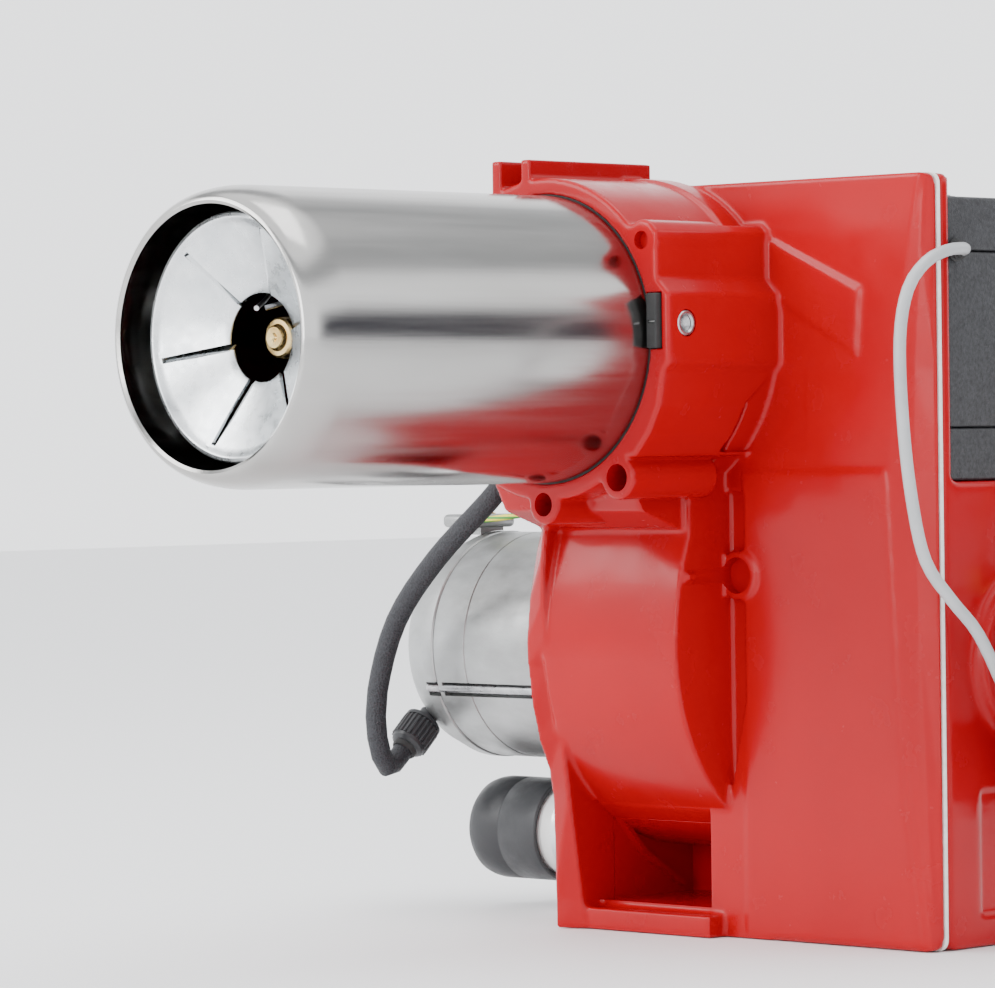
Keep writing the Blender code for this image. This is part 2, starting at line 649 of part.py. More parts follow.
def motor(parent):
    centre = (0, FAN_Y, FAN_Z)
    lathe(
        "motor_plate", "cast_aluminium", parent,
        [(0.0125, MOTOR_PLATE_X), (0.066, MOTOR_PLATE_X), (0.066, LEFT_X - GAP), (0.0125, LEFT_X - GAP)],
        "X", centre, 32,
    )
    screw_places = [around(0.061, a, (FAN_Y, FAN_Z)) for a in (150, 30, 270)]
    for k, (y, z) in enumerate(screw_places, 1):
        profile = [(0, 0), (0.0045, 0), (0.0045, -0.0035), (0.002, -0.0035), (0.002, -0.0025), (0, -0.0025)]
        at = (MOTOR_PLATE_X - GAP, y, z)
        lathe(f"motor_plate_screw_{k}", "machined_steel", parent, profile, "X", at, 12)
    x0 = MOTOR_PLATE_X - GAP
    bell = lathe(
        "motor_front_bell", "cast_aluminium", parent,
        [(0.0115, x0), (MOTOR_RADIUS, x0), (MOTOR_RADIUS, MOTOR_BELL_X), (0.0455, MOTOR_BELL_X),
         (0.0455, x0 - 0.004), (0.0115, x0 - 0.004)],
        "X", centre, 36,
    )
    case = pipe(
        "motor_casing", "cast_aluminium", parent, "X",
        (MOTOR_CASE_END_X + GAP, FAN_Y, FAN_Z), 0.0435, MOTOR_RADIUS - 0.0004,
        MOTOR_BELL_X - MOTOR_CASE_END_X - 2 * GAP, 36,
    )
    dome = [
        (0.0, MOTOR_END_X), (0.016, MOTOR_END_X), (0.0165, MOTOR_END_X + 0.005),
        (0.030, MOTOR_END_X + 0.008), (0.041, MOTOR_END_X + 0.014), (0.047, MOTOR_END_X + 0.024),
        (MOTOR_RADIUS, MOTOR_CASE_END_X - 0.006), (MOTOR_RADIUS, MOTOR_CASE_END_X),
        (0.0435, MOTOR_CASE_END_X), (0.0415, MOTOR_END_X + 0.022), (0.030, MOTOR_END_X + 0.0135),
        (0.0115, MOTOR_END_X + 0.0125), (0.0115, MOTOR_END_X + 0.0045), (0.0, MOTOR_END_X + 0.0045),
    ]
    end_bell = lathe("motor_end_bell", "cast_aluminium", parent, dome, "X", centre, 36)
    grooves, drills = [], []
    for k in range(2):
        y, z = around(ROD_RING, ROD_ANGLE + 180 * k, (FAN_Y, FAN_Z))
        start = MOTOR_CASE_END_X - 0.007
        rod_length = MOTOR_BELL_X + 0.008 - start
        rod(f"motor_rod_{k + 1}", "machined_steel", parent, "X", (start, y, z), ROD_RADIUS, rod_length, 10)
        grooves.append(rod("cut", None, parent, "X", (-0.145, y, z), ROD_RADIUS + 0.0012, 0.090, 12))
        drills.append(rod("cut", None, parent, "X", (start - 0.0005, y, z), ROD_RADIUS + GAP, 0.02, 12))
        bell_drill = rod("cut", None, parent, "X", (-0.070, y, z), ROD_RADIUS + GAP, 0.0125, 12)
        cut(bell, bell_drill)
    cut(case, *grooves)
    gland_hole = gland_shape(parent, "cut", None, 0.0045, 0.040, 0.058)
    cut(end_bell, gland_hole, *drills)
    pipe("motor_stator", "copper_winding", parent, "X", (-0.135, FAN_Y, FAN_Z), 0.0243, 0.0430, 0.062, 24)
    bearing = (SHAFT_RADIUS + GAP, 0.0112, 0.007, 24)
    pipe("motor_bearing_front", "machined_steel", parent, "X", (-0.0545, FAN_Y, FAN_Z), *bearing)
    pipe("motor_bearing_rear", "machined_steel", parent, "X", (-0.1722, FAN_Y, FAN_Z), *bearing)


def gland_shape(parent, name, slot, radius, near, far, steps=16):
    """A round bar along the gland's own axis, which points forward and down from the motor."""
    bar = rod(name, slot, parent, "Y", (0, near, 0), radius, far - near, steps)
    turn = Matrix.Rotation(math.radians(GLAND_ANGLE), 4, "X")
    bar.data.transform(Matrix.Translation((GLAND_X, FAN_Y, FAN_Z)) @ turn)
    return bar


def motor_fittings(parent):
    neck = gland_shape(parent, "cable_gland", "black_plastic", 0.0042, 0.0435, 0.0500)
    nut = gland_shape(parent, "add", None, 0.0085, 0.0492, 0.0640, 10)
    unite(neck, nut)
    tag = block(
        "earth_tag", "cast_aluminium", parent, (-0.164, 0.106, 0.1625), (-0.142, 0.130, 0.1685), 0.0015
    )
    screw = rod("add", None, parent, "Z", (-0.152, 0.121, 0.1680), 0.0035, 0.0028, 12)
    foot = block("add", None, parent, (-0.160, 0.112, 0.1595), (-0.146, 0.126, 0.1640))
    seat = rod("cut", None, parent, "X", (-0.2, FAN_Y, FAN_Z), MOTOR_RADIUS + GAP, 0.1, 32)
    unite(tag, screw, foot)
    cut(tag, seat)


def capacitor(parent):
    lathe(
        "capacitor_body", "white_plastic", parent,
        [(0, -0.140), (CAP_RADIUS - 0.001, -0.140), (CAP_RADIUS - 0.001, BOOT_MOUTH_X + GAP),
         (CAP_RADIUS, BOOT_MOUTH_X + 0.002), (CAP_RADIUS, CAP_END_X - 0.002),
         (CAP_RADIUS - 0.002, CAP_END_X), (0, CAP_END_X)],
        "X", (0, CAP_Y, CAP_Z), 32,
    )
    lathe(
        "capacitor_boot", "black_plastic", parent,
        [(0, BOOT_END_X), (BOOT_RADIUS - 0.005, BOOT_END_X), (BOOT_RADIUS - 0.001, BOOT_END_X + 0.002),
         (BOOT_RADIUS, BOOT_END_X + 0.006), (BOOT_RADIUS, BOOT_MOUTH_X),
         (CAP_RADIUS - 0.0007, BOOT_MOUTH_X), (CAP_RADIUS - 0.0007, -0.1403), (0, -0.1403)],
        "X", (0, CAP_Y, CAP_Z), 32,
    )
    band = pipe(
        "capacitor_clip", "zinc_plate", parent, "X", (-0.094, CAP_Y, CAP_Z), CAP_RADIUS + GAP, 0.0218, 0.016
    )
    post = block("add", None, parent, (-0.092, 0.112, CAP_Z + 0.0208), (-0.080, 0.132, 0.0655), 0.0004)
    saddle_cut = rod("cut", None, parent, "X", (-0.12, FAN_Y, FAN_Z), MOTOR_RADIUS + GAP, 0.08, 32)
    unite(band, post)
    cut(band, saddle_cut)


# ---------------------------------------------------------------- pump and oil

def oil_pump(parent):
    body = block(
        "oil_pump", "cast_aluminium", parent,
        (PUMP_FACE_X, FAN_Y - PUMP_HALF, FAN_Z - PUMP_HALF),
        (PUMP_BACK_X, FAN_Y + PUMP_HALF, FAN_Z + PUMP_HALF), 0.004,
    )
    nose = rod("add", None, parent, "X", (PUMP_BACK_X - 0.002, FAN_Y, FAN_Z), 0.018, 0.014, 32)
    unite(body, nose)
    cut(body, rod("cut", None, parent, "X", (PUMP_FACE_X - 0.01, FAN_Y, FAN_Z), 0.0045, 0.042, 20))
    block("valve_coil", "black_plastic", parent, (0.153, 0.108, 0.054), (0.184, 0.140, 0.0855), 0.002)
    rod("coil_nut", "machined_steel", parent, "Z", (0.1685, 0.124, 0.0477), 0.0065, 0.006, 6)
    for k, (y, z) in enumerate(((0.1035, 0.1335), (0.1465, 0.0905)), 1):
        at = (PUMP_BACK_X + GAP, y, z)
        rod(f"pump_screw_{k}", "machined_steel", parent, "X", at, 0.0030, 0.0030, 8)
    rod("pressure_union", "brass", parent, "Z", (0.165, FAN_Y, FAN_Z + PUMP_HALF + GAP), 0.0060, 0.009, 6)


def lines(parent):
    """Cables and the pressure pipe, all held at both ends."""
    tube_along("oil_pipe", "copper", parent, OIL_PIPE_ROUTE, 0.0020)
    tube_along("motor_cable", "black_plastic", parent, MOTOR_CABLE_ROUTE, 0.0045)
    tube_along("coil_lead", "grey_plastic", parent, COIL_LEAD_ROUTE, 0.0024)
    tube_along("earth_wire", "earth_sleeve", parent, EARTH_WIRE_ROUTE, 0.0013)


# ---------------------------------------------------------------- electrical housing

def electrical_housing(parent):
    low = (BOX_LEFT_X, BOX_FRONT_Y)
    high = (BOX_RIGHT_X, REAR_Y)

    def shell(name, z0, z1, floor, roof):
        outer = block(name, "black_plastic", parent, (*low, z0), (*high, z1), 0.0012)
        inner = block(
            "cut", None, parent,
            (low[0] + BOX_WALL, low[1] + BOX_WALL, z0 + (BOX_WALL if floor else -0.01)),
            (high[0] - BOX_WALL, high[1] - BOX_WALL, z1 - (BOX_WALL if roof else -0.01)),
        )
        return outer, inner

    tray, inner = shell("control_tray", HOUSING_TOP_Z + GAP, TRAY_TOP_Z, True, False)
    cut(tray, inner)
    cover, inner = shell("control_cover", TRAY_TOP_Z + GAP, COVER_TOP_Z, False, False)
    cut(
        cover, inner,
        rod("cut", None, parent, "Y", (0, 0.075, TUBE_Z), 0.018, 0.010, 24),
        rod("cut", None, parent, "Y", (-0.035, 0.075, 0.218), 0.0085, 0.010, 16),
        rod("cut", None, parent, "Y", (0.090, REAR_Y - 0.010, 0.226), 0.0088, 0.020, 24),
        rod("cut", None, parent, "X", (0.135, 0.1400, 0.2325), 0.0065, 0.010, 16),
    )
    lid, inner = shell("control_lid", COVER_TOP_Z + GAP, LID_TOP_Z, False, True)
    cut(lid, inner)
    floor_z = HOUSING_TOP_Z + GAP + BOX_WALL + GAP
    block("control_unit", "grey_plastic", parent, (0.055, 0.112, floor_z), (0.125, 0.183, 0.246), 0.002)
    low, high = (-0.050, 0.122, floor_z), (0.022, 0.186, 0.234)
    block("ignition_transformer", "black_plastic", parent, low, high, 0.003)
    profile = [(0, 0.0), (0.0060, 0.0), (0.0064, 0.002), (0.0064, 0.024), (0, 0.024)]
    lathe("flame_sensor", "grey_plastic", parent, profile, "Y", (-0.035, 0.0765, 0.218), 20)
    rod("cable_grommet", "rubber", parent, "X", (BOX_LEFT_X - 0.0060, 0.120, 0.225), 0.0080, 0.0057, 20)


def reset_button(parent):
    """Lock-out reset on the rear wall; its empty sits on the line that it travels along."""
    profile = [(0, -0.0105), (0.0055, -0.0105), (0.0055, -0.006), (0.0082, -0.006), (0.0082, 0.0025),
               (0.0074, BUTTON_PROUD), (0, BUTTON_PROUD)]
    line = empty("reset_travel", (0.090, REAR_Y, 0.226), parent)
    lathe("reset_button", "red_plastic", line, profile, "Y", (0, 0, 0), 24)


def air_damper(parent):
    """Flap inside the rear opening on a shaft that comes out through the side wall."""
    axis = empty("damper_axis", (0, DAMPER_HINGE_Y, DAMPER_HINGE_Z), parent)
    rod("damper_shaft", "machined_steel", axis, "X", (0.045, 0, 0), 0.0030, 0.107, 16)
    start, end = DAMPER_X0 - 0.003, DAMPER_X1 + 0.003
    flap = block("damper_flap", "zinc_plate", axis, (start, 0.0040, -0.073), (end, 0.0055, 0.0010))
    barrel = pipe("add", None, axis, "X", (start, 0, 0), 0.0033, 0.0052, end - start, 20)
    unite(flap, barrel)
    lever = block(
        "damper_lever", "zinc_plate", axis, (0.1462, -0.0060, -0.036), (0.1480, 0.0060, 0.0060), 0.0004
    )
    unite(lever, rod("add", None, axis, "X", (0.1470, 0, -0.030), 0.0045, 0.0100, 16))
    cut(lever, rod("cut", None, axis, "X", (0.140, 0, 0), 0.0033, 0.02, 16))


# ---------------------------------------------------------------- assembly

def build():
    clear_scene()
    burner = empty("burner", -BOX_MIDDLE)
    front_casting(burner)
    rear_casting(burner)
    body_gasket(burner)
    blast_tube(burner)
    tube_details(burner)
    line_socket(burner)
    head = empty("head_axis", (0, 0, TUBE_Z), burner)
    diffuser_disc(head)
    disc_bracket(head)
    nozzle(head)
    oil_line(head)
    electrodes(head)
    rotor_parts(empty("rotor_axis", (0, FAN_Y, FAN_Z), burner))
    motor(burner)
    motor_fittings(burner)
    capacitor(burner)
    oil_pump(burner)
    lines(burner)
    electrical_housing(burner)
    reset_button(burner)
    air_damper(burner)


build()
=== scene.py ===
"""Looks of a forced-draught oil burner: enamelled castings, polished blast tube, motor and controls."""

import json
import math

import bmesh
import bpy
from mathutils import Matrix, Vector


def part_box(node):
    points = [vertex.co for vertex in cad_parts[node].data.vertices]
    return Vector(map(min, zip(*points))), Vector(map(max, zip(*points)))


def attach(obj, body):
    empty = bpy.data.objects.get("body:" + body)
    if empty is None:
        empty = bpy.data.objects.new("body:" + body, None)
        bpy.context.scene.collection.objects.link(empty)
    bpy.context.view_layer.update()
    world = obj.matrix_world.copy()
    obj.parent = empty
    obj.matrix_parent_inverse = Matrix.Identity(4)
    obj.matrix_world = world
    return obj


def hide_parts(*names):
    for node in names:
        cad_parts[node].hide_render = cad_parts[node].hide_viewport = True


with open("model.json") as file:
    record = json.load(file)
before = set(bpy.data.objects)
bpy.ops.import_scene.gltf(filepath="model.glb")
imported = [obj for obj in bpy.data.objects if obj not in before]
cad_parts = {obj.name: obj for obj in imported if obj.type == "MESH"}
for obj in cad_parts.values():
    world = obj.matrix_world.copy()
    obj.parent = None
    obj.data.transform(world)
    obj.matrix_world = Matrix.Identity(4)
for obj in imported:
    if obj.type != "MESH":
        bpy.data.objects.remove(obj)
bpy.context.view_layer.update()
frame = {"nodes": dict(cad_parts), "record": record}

# The maker's drawing has its zero on the tube's axis at the collar face, with heights from the base.
tube_low, tube_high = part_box("blast_tube")
TUBE_LENGTH = 0.180
ZERO = Vector(((tube_low[0] + tube_high[0]) / 2, tube_low[1] + TUBE_LENGTH, 0))

TUBE_Z = 0.240
TUBE_RADIUS = 0.057
MOUTH_RADIUS = 0.0508
COLLAR_RADIUS = 0.064
WALL_Y = 0.066
JOINT_Y = 0.0715
FLANGE_Y = 0.0740
HOUSING_Y = 0.080
REAR_Y = 0.198
TOP_Z = 0.302
LEFT_X, UPPER_LEFT_X, RIGHT_X = -0.045, -0.062, 0.143
FAN_Y, FAN_Z = 0.125, 0.112
MOTOR_RADIUS = 0.049
MOTOR_END_X, CASE_END_X, BELL_X, PLATE_X = -0.177, -0.141, -0.066, -0.0503
CAP_Y, CAP_Z = 0.120, 0.033
BOX_LEFT_X, BOX_RIGHT_X = -0.060, 0.141
DISC_Y = -0.167
DISC_DISH = 0.0146
PETALS = 6
SLOT_ANGLE = 11
NOZZLE_TIP_Y = -0.1462
DAMPER_Y, DAMPER_Z = 0.188, 0.094
BUTTON = Vector((0.090, REAR_Y, 0.226))


# ---------------------------------------------------------------- mesh tools

def placed(axis, at):
    """Turns a shape made about Z onto another axis, through a point."""
    turns = {
        "X": Matrix.Rotation(math.radians(90), 4, "Y"),
        "Y": Matrix.Rotation(math.radians(-90), 4, "X"),
        "Z": Matrix.Identity(4),
    }
    return Matrix.Translation(at) @ turns[axis]


def lathe(profile, axis, at=(0, 0, 0), steps=64):
    """A turned body: profile is a closed run of (radius, distance along the axis)."""
    bm = bmesh.new()
    ring = [bm.verts.new((r, 0, h)) for r, h in profile]
    for a, b in zip(ring, ring[1:] + ring[:1]):
        if a.co.x > 1e-7 or b.co.x > 1e-7:
            bm.edges.new((a, b))
    bmesh.ops.spin(
        bm, geom=ring + bm.edges[:], axis=(0, 0, 1), cent=(0, 0, 0),
        angle=math.tau, steps=steps, use_merge=True,
    )
    bmesh.ops.transform(bm, matrix=placed(axis, at), verts=bm.verts)
    bmesh.ops.remove_doubles(bm, verts=bm.verts, dist=1e-6)
    bmesh.ops.recalc_face_normals(bm, faces=bm.faces)
    return bm


def bar(axis, at, radius, length, steps=32, chamfer=0.0):
    c = min(chamfer, radius * 0.5)
    if c:
        profile = [
            (0, 0), (radius - c, 0), (radius, c), (radius, length - c), (radius - c, length), (0, length)
        ]
    else:
        profile = [(0, 0), (radius, 0), (radius, length), (0, length)]
    return lathe(profile, axis, at, steps)


def sleeve(axis, at, inner, outer, length, steps=48, chamfer=0.0003):
    c = chamfer
    profile = [(inner + c, 0), (outer - c, 0), (outer, c), (outer, length - c), (outer - c, length),
               (inner + c, length), (inner, length - c), (inner, c)]
    return lathe(profile, axis, at, steps)


def slab(outline, axis, low, high):
    """An outline pushed out along X (given in y, z), along Y (in x, z) or along Z (in x, y)."""
    spots = {"X": lambda a, b: (low, a, b), "Y": lambda a, b: (a, low, b), "Z": lambda a, b: (a, b, low)}
    ways = {"X": (high - low, 0, 0), "Y": (0, high - low, 0), "Z": (0, 0, high - low)}
    bm = bmesh.new()
    face = bm.faces.new([bm.verts.new(spots[axis](a, b)) for a, b in outline])
    grown = bmesh.ops.extrude_face_region(bm, geom=[face])
    moved = [v for v in grown["geom"] if isinstance(v, bmesh.types.BMVert)]
    bmesh.ops.translate(bm, verts=moved, vec=ways[axis])
    bmesh.ops.recalc_face_normals(bm, faces=bm.faces)
    return bm


def lofted(rings):
    """A closed body through rings of points, each with the same count."""
    bm = bmesh.new()
    rows = [[bm.verts.new(p) for p in ring] for ring in rings]
    count = len(rows[0])
    for a, b in zip(rows, rows[1:]):
        for k in range(count):
            bm.faces.new((a[k], a[(k + 1) % count], b[(k + 1) % count], b[k]))
    bm.faces.new(rows[0])
    bm.faces.new(rows[-1])
    bmesh.ops.recalc_face_normals(bm, faces=bm.faces)
    return bm


def brick(low, high, bevel=0.0, segments=3):
    bm = bmesh.new()
    bmesh.ops.create_cube(bm, size=1)
    bmesh.ops.scale(bm, vec=[b - a for a, b in zip(low, high)], verts=bm.verts)
    bmesh.ops.translate(bm, vec=[(a + b) / 2 for a, b in zip(low, high)], verts=bm.verts)
    if bevel:
        bmesh.ops.bevel(
            bm, geom=bm.edges[:], offset=bevel, segments=segments, profile=0.5,
            affect="EDGES", material=-1,
        )
    return bm


def spun(bm, angle, axis, centre=(0, 0, 0)):
    turn = Matrix.Translation(centre) @ Matrix.Rotation(angle, 4, axis) @ Matrix.Translation(
        -Vector(centre)
    )
    bmesh.ops.transform(bm, matrix=turn, verts=bm.verts)
    return bm


def polar(radius, degrees, centre=(0, 0)):
    a = math.radians(degrees)
    return (centre[0] + radius * math.cos(a), centre[1] + radius * math.sin(a))


def rounded(outline, radius, segments=6):
    """The outline with each corner drawn as a curve."""
    soft = []
    count = len(outline)
    for i in range(count):
        before, here, after = (Vector(outline[(i + k) % count]) for k in (-1, 0, 1))
        reach = min(radius, (before - here).length * 0.48, (after - here).length * 0.48)
        start = here + (before - here).normalized() * reach
        end = here + (after - here).normalized() * reach
        for k in range(segments + 1):
            t = k / segments
            soft.append(tuple(start * (1 - t) ** 2 + here * 2 * t * (1 - t) + end * t ** 2))
    return soft


def to_object(bm, name):
    """A mesh object in the row frame, from a shape drawn on the maker's zero."""
    mesh = bpy.data.meshes.new(name)
    bmesh.ops.translate(bm, vec=ZERO, verts=bm.verts)
    bm.to_mesh(mesh)
    bm.free()
    obj = bpy.data.objects.new(name, mesh)
    bpy.context.collection.objects.link(obj)
    return obj


def evaluated(obj):
    bpy.context.view_layer.update()
    graph = bpy.context.evaluated_depsgraph_get()
    return bpy.data.meshes.new_from_object(obj.evaluated_get(graph))


def settle(obj):
    """Makes an object's modifiers part of its mesh."""
    mesh = evaluated(obj)
    obj.modifiers.clear()
    old = obj.data
    obj.data = mesh
    bpy.data.meshes.remove(old)
    return obj


def carve(obj, shapes, solver="EXACT"):
    """Cuts closed shapes out of an object."""
    for shape in shapes:
        tool = to_object(shape, "tool")
        step = obj.modifiers.new("carve", "BOOLEAN")
        step.operation = "DIFFERENCE"
        step.solver = solver
        step.object = tool
        settle(obj)
        bpy.data.objects.remove(tool, do_unlink=True)
    return obj


def gathered(shapes):
    """Several closed shapes in one bmesh."""
    whole = bmesh.new()
    for shape in shapes:
        part = bpy.data.meshes.new("part")
        shape.to_mesh(part)
        shape.free()
        whole.from_mesh(part)
        bpy.data.meshes.remove(part)
    return whole


def one_skin(obj, grain):
    remesh = obj.modifiers.new("one skin", "REMESH")
    remesh.mode = "VOXEL"
    remesh.voxel_size = grain


def cast_shape(name, solids, hollows, details, grain, rounds, keep):
    """A casting: solids run together, hollows cut, details joined on, then edges drawn soft."""
    obj = to_object(gathered(solids), name)
    one_skin(obj, grain)
    settle(obj)
    carve(obj, hollows, "MANIFOLD")
    extra = to_object(gathered(details), "details")
    joined = bmesh.new()
    joined.from_mesh(obj.data)
    joined.from_mesh(extra.data)
    joined.to_mesh(obj.data)
    joined.free()
    bpy.data.objects.remove(extra, do_unlink=True)
    one_skin(obj, grain)
    soften = obj.modifiers.new("fillets", "SMOOTH")
    soften.factor = 0.5
    soften.iterations = rounds
    thin = obj.modifiers.new("fewer faces", "DECIMATE")
    thin.ratio = keep
    return settle(obj)


def show(obj, body, finish, replaces=(), sharp=32.0):
    """Shades a piece, gives it its finish, its body and the solids that it stands for."""
    mesh = obj.data
    if obj.type == "MESH":
        mesh.shade_smooth()
        if sharp:
            mesh.set_sharp_from_angle(angle=math.radians(sharp))
    mesh.materials.clear()
    mesh.materials.append(FINISHES[finish])
    if replaces:
        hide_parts(*replaces)
    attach(obj, body)
    return obj


def piece(name, bm, body, finish, replaces=(), sharp=32.0, bevel=0.0):
    obj = to_object(bm, name)
    if bevel:
        edge = obj.modifiers.new("soft edges", "BEVEL")
        edge.width = bevel
        edge.segments = 2
        edge.limit_method = "ANGLE"
        edge.angle_limit = math.radians(35)
        edge.harden_normals = False
        settle(obj)
    return show(obj, body, finish, replaces, sharp)


# ---------------------------------------------------------------- finishes

class Recipe:
    """Builds one node material step by step."""

    def __init__(self, name, colour, roughness, metallic=0.0, **sockets):
        self.material = bpy.data.materials.new(name)
        self.material.use_nodes = True
        self.tree = self.material.node_tree
        self.shader = self.tree.nodes["Principled BSDF"]
        self.shader.inputs["Base Color"].default_value = (*colour, 1)
        self.shader.inputs["Roughness"].default_value = roughness
        self.shader.inputs["Metallic"].default_value = metallic
        for key, value in sockets.items():
            self.shader.inputs[key.replace("_", " ")].default_value = value
        self.coords = self.add("ShaderNodeTexCoord").outputs["Object"]
        self.height = None

    def add(self, kind, **settings):
        node = self.tree.nodes.new(kind)
        for key, value in settings.items():
            setattr(node, key, value)
        return node

    def join(self, a, b):
        self.tree.links.new(a, b)

    def noise(self, scale, detail=4.0, stretch=(1, 1, 1), roughness=0.55):
        mapping = self.add("ShaderNodeMapping")
        mapping.inputs["Scale"].default_value = stretch
        self.join(self.coords, mapping.inputs["Vector"])
        node = self.add("ShaderNodeTexNoise")
        node.inputs["Scale"].default_value = scale
        node.inputs["Detail"].default_value = detail
        node.inputs["Roughness"].default_value = roughness
        self.join(mapping.outputs["Vector"], node.inputs["Vector"])
        return node.outputs["Fac"]

    def spots(self, scale, randomness=1.0):
        node = self.add("ShaderNodeTexVoronoi")
        node.inputs["Scale"].default_value = scale
        node.inputs["Randomness"].default_value = randomness
        self.join(self.coords, node.inputs["Vector"])
        return node.outputs["Distance"]

    def ramp(self, factor, low, high, first, last):
        """Runs from the first colour at low to the last colour at high."""
        node = self.add("ShaderNodeValToRGB")
        node.color_ramp.elements[0].position = low
        node.color_ramp.elements[1].position = high
        node.color_ramp.elements[0].color = (*first, 1)
        node.color_ramp.elements[1].color = (*last, 1)
        self.join(factor, node.inputs["Fac"])
        return node.outputs["Color"]

    def colour(self, factor, low, high, first, last):
        self.join(self.ramp(factor, low, high, first, last), self.shader.inputs["Base Color"])
        return self

    def gloss(self, factor, low, high, first, last):
        node = self.add("ShaderNodeMapRange")
        for key, value in zip(("From Min", "From Max", "To Min", "To Max"), (low, high, first, last)):
            node.inputs[key].default_value = value
        self.join(factor, node.inputs["Value"])
        self.join(node.outputs["Result"], self.shader.inputs["Roughness"])
        return self

    def bump(self, factor, strength, distance):
        node = self.add("ShaderNodeBump")
        node.inputs["Strength"].default_value = strength
        node.inputs["Distance"].default_value = distance
        self.join(factor, node.inputs["Height"])
        if self.height:
            self.join(self.height, node.inputs["Normal"])
        self.height = node.outputs["Normal"]
        self.join(self.height, self.shader.inputs["Normal"])
        return self


def red_enamel():
    r = Recipe(
        "red_enamel", (0.37, 0.0, 0.004), 0.22, Specular_IOR_Level=0.22, Coat_Weight=0.04,
        Coat_Roughness=0.05
    )
    r.colour(r.noise(9, 3), 0.35, 0.7, (0.34, 0.0, 0.004), (0.40, 0.0, 0.005))
    r.gloss(r.noise(60, 5), 0.3, 0.7, 0.16, 0.30)
    r.bump(r.noise(420, 3), 0.10, 0.0004)
    return r.bump(r.noise(45, 2), 0.12, 0.0012).material


def stainless():
    r = Recipe("stainless", (0.44, 0.435, 0.425), 0.16, 1.0)
    r.colour(r.noise(14, 4, (1, 0.25, 1)), 0.3, 0.7, (0.36, 0.35, 0.335), (0.49, 0.485, 0.475))
    r.gloss(r.noise(160, 5, (1, 0.04, 1)), 0.3, 0.7, 0.12, 0.24)
    r.bump(r.noise(900, 2, (1, 0.02, 1)), 0.05, 0.0002)
    return r.bump(r.noise(16, 2, (1, 0.3, 1)), 0.10, 0.0015).material


def zinc_plate():
    r = Recipe("zinc_plate", (0.72, 0.75, 0.77), 0.28, 1.0)
    r.colour(r.noise(70, 5), 0.3, 0.72, (0.60, 0.63, 0.65), (0.80, 0.82, 0.83))
    r.gloss(r.noise(220, 4), 0.3, 0.7, 0.22, 0.38)
    return r.bump(r.noise(700, 3), 0.08, 0.0002).material


def cast_aluminium():
    r = Recipe("cast_aluminium", (0.56, 0.57, 0.57), 0.42, 0.85)
    r.colour(r.noise(26, 6, (0.5, 1, 1)), 0.32, 0.68, (0.20, 0.20, 0.195), (0.48, 0.49, 0.49))
    r.gloss(r.noise(90, 4), 0.3, 0.7, 0.32, 0.55)
    r.bump(r.noise(1100, 3), 0.22, 0.0003)
    return r.bump(r.noise(60, 3), 0.12, 0.0008).material


def machined_steel():
    r = Recipe("machined_steel", (0.46, 0.46, 0.47), 0.3, 1.0)
    r.colour(r.noise(120, 4), 0.3, 0.7, (0.32, 0.32, 0.33), (0.56, 0.56, 0.57))
    return r.gloss(r.noise(300, 4), 0.3, 0.7, 0.22, 0.42).material


def brass():
    r = Recipe("brass", (0.78, 0.56, 0.24), 0.24, 1.0)
    r.colour(r.noise(150, 4), 0.3, 0.7, (0.60, 0.38, 0.13), (0.86, 0.66, 0.32))
    return r.gloss(r.noise(240, 3), 0.3, 0.7, 0.18, 0.34).material


def copper():
    r = Recipe("copper", (0.72, 0.36, 0.22), 0.26, 1.0)
    r.colour(r.noise(80, 5), 0.3, 0.7, (0.46, 0.20, 0.11), (0.80, 0.44, 0.28))
    return r.gloss(r.noise(200, 3), 0.3, 0.7, 0.2, 0.42).material


def copper_winding():
    r = Recipe("copper_winding", (0.55, 0.22, 0.10), 0.38, 0.7)
    return r.bump(r.noise(300, 2, (1, 8, 8)), 0.5, 0.001).material


def ceramic():
    r = Recipe("ceramic", (0.80, 0.78, 0.72), 0.3)
    r.colour(r.noise(90, 4), 0.4, 0.7, (0.70, 0.67, 0.60), (0.84, 0.82, 0.78))
    return r.bump(r.noise(300, 2), 0.05, 0.0002).material


def fan_steel():
    r = Recipe("fan_steel", (0.50, 0.51, 0.52), 0.4, 1.0)
    return r.colour(r.spots(160), 0.1, 0.6, (0.42, 0.43, 0.44), (0.60, 0.61, 0.62)).material


def plastic(name, colour, low, high, grain, bump):
    dark = [c * 0.8 for c in colour]
    r = Recipe(name, colour, low)
    r.colour(r.noise(30, 4), 0.3, 0.7, dark, colour)
    r.gloss(r.noise(150, 4), 0.3, 0.7, low, high)
    return r.bump(r.noise(grain, 3), bump, 0.0004).material


def cover_plastic():
    """Moulded housing with a leather-like spark-eroded grain."""
    r = Recipe("cover_plastic", (0.045, 0.047, 0.050), 0.5)
    r.colour(r.noise(700, 4), 0.35, 0.7, (0.012, 0.012, 0.014), (0.036, 0.037, 0.041))
    r.gloss(r.noise(260, 3), 0.3, 0.7, 0.42, 0.6)
    r.bump(r.spots(1500), 0.35, 0.0004)
    return r.bump(r.noise(900, 4), 0.3, 0.0004).material


def rubber():
    r = Recipe("rubber", (0.02, 0.02, 0.02), 0.7)
    r.gloss(r.noise(200, 4), 0.3, 0.7, 0.6, 0.85)
    return r.bump(r.noise(900, 3), 0.2, 0.0003).material


def braid():
    """Black woven sleeve over the motor's cores."""
    r = Recipe("cable_braid", (0.012, 0.013, 0.017), 0.62)
    r.colour(r.spots(1100), 0.1, 0.6, (0.004, 0.004, 0.006), (0.020, 0.021, 0.026))
    return r.bump(r.spots(1100), 0.6, 0.0006).material


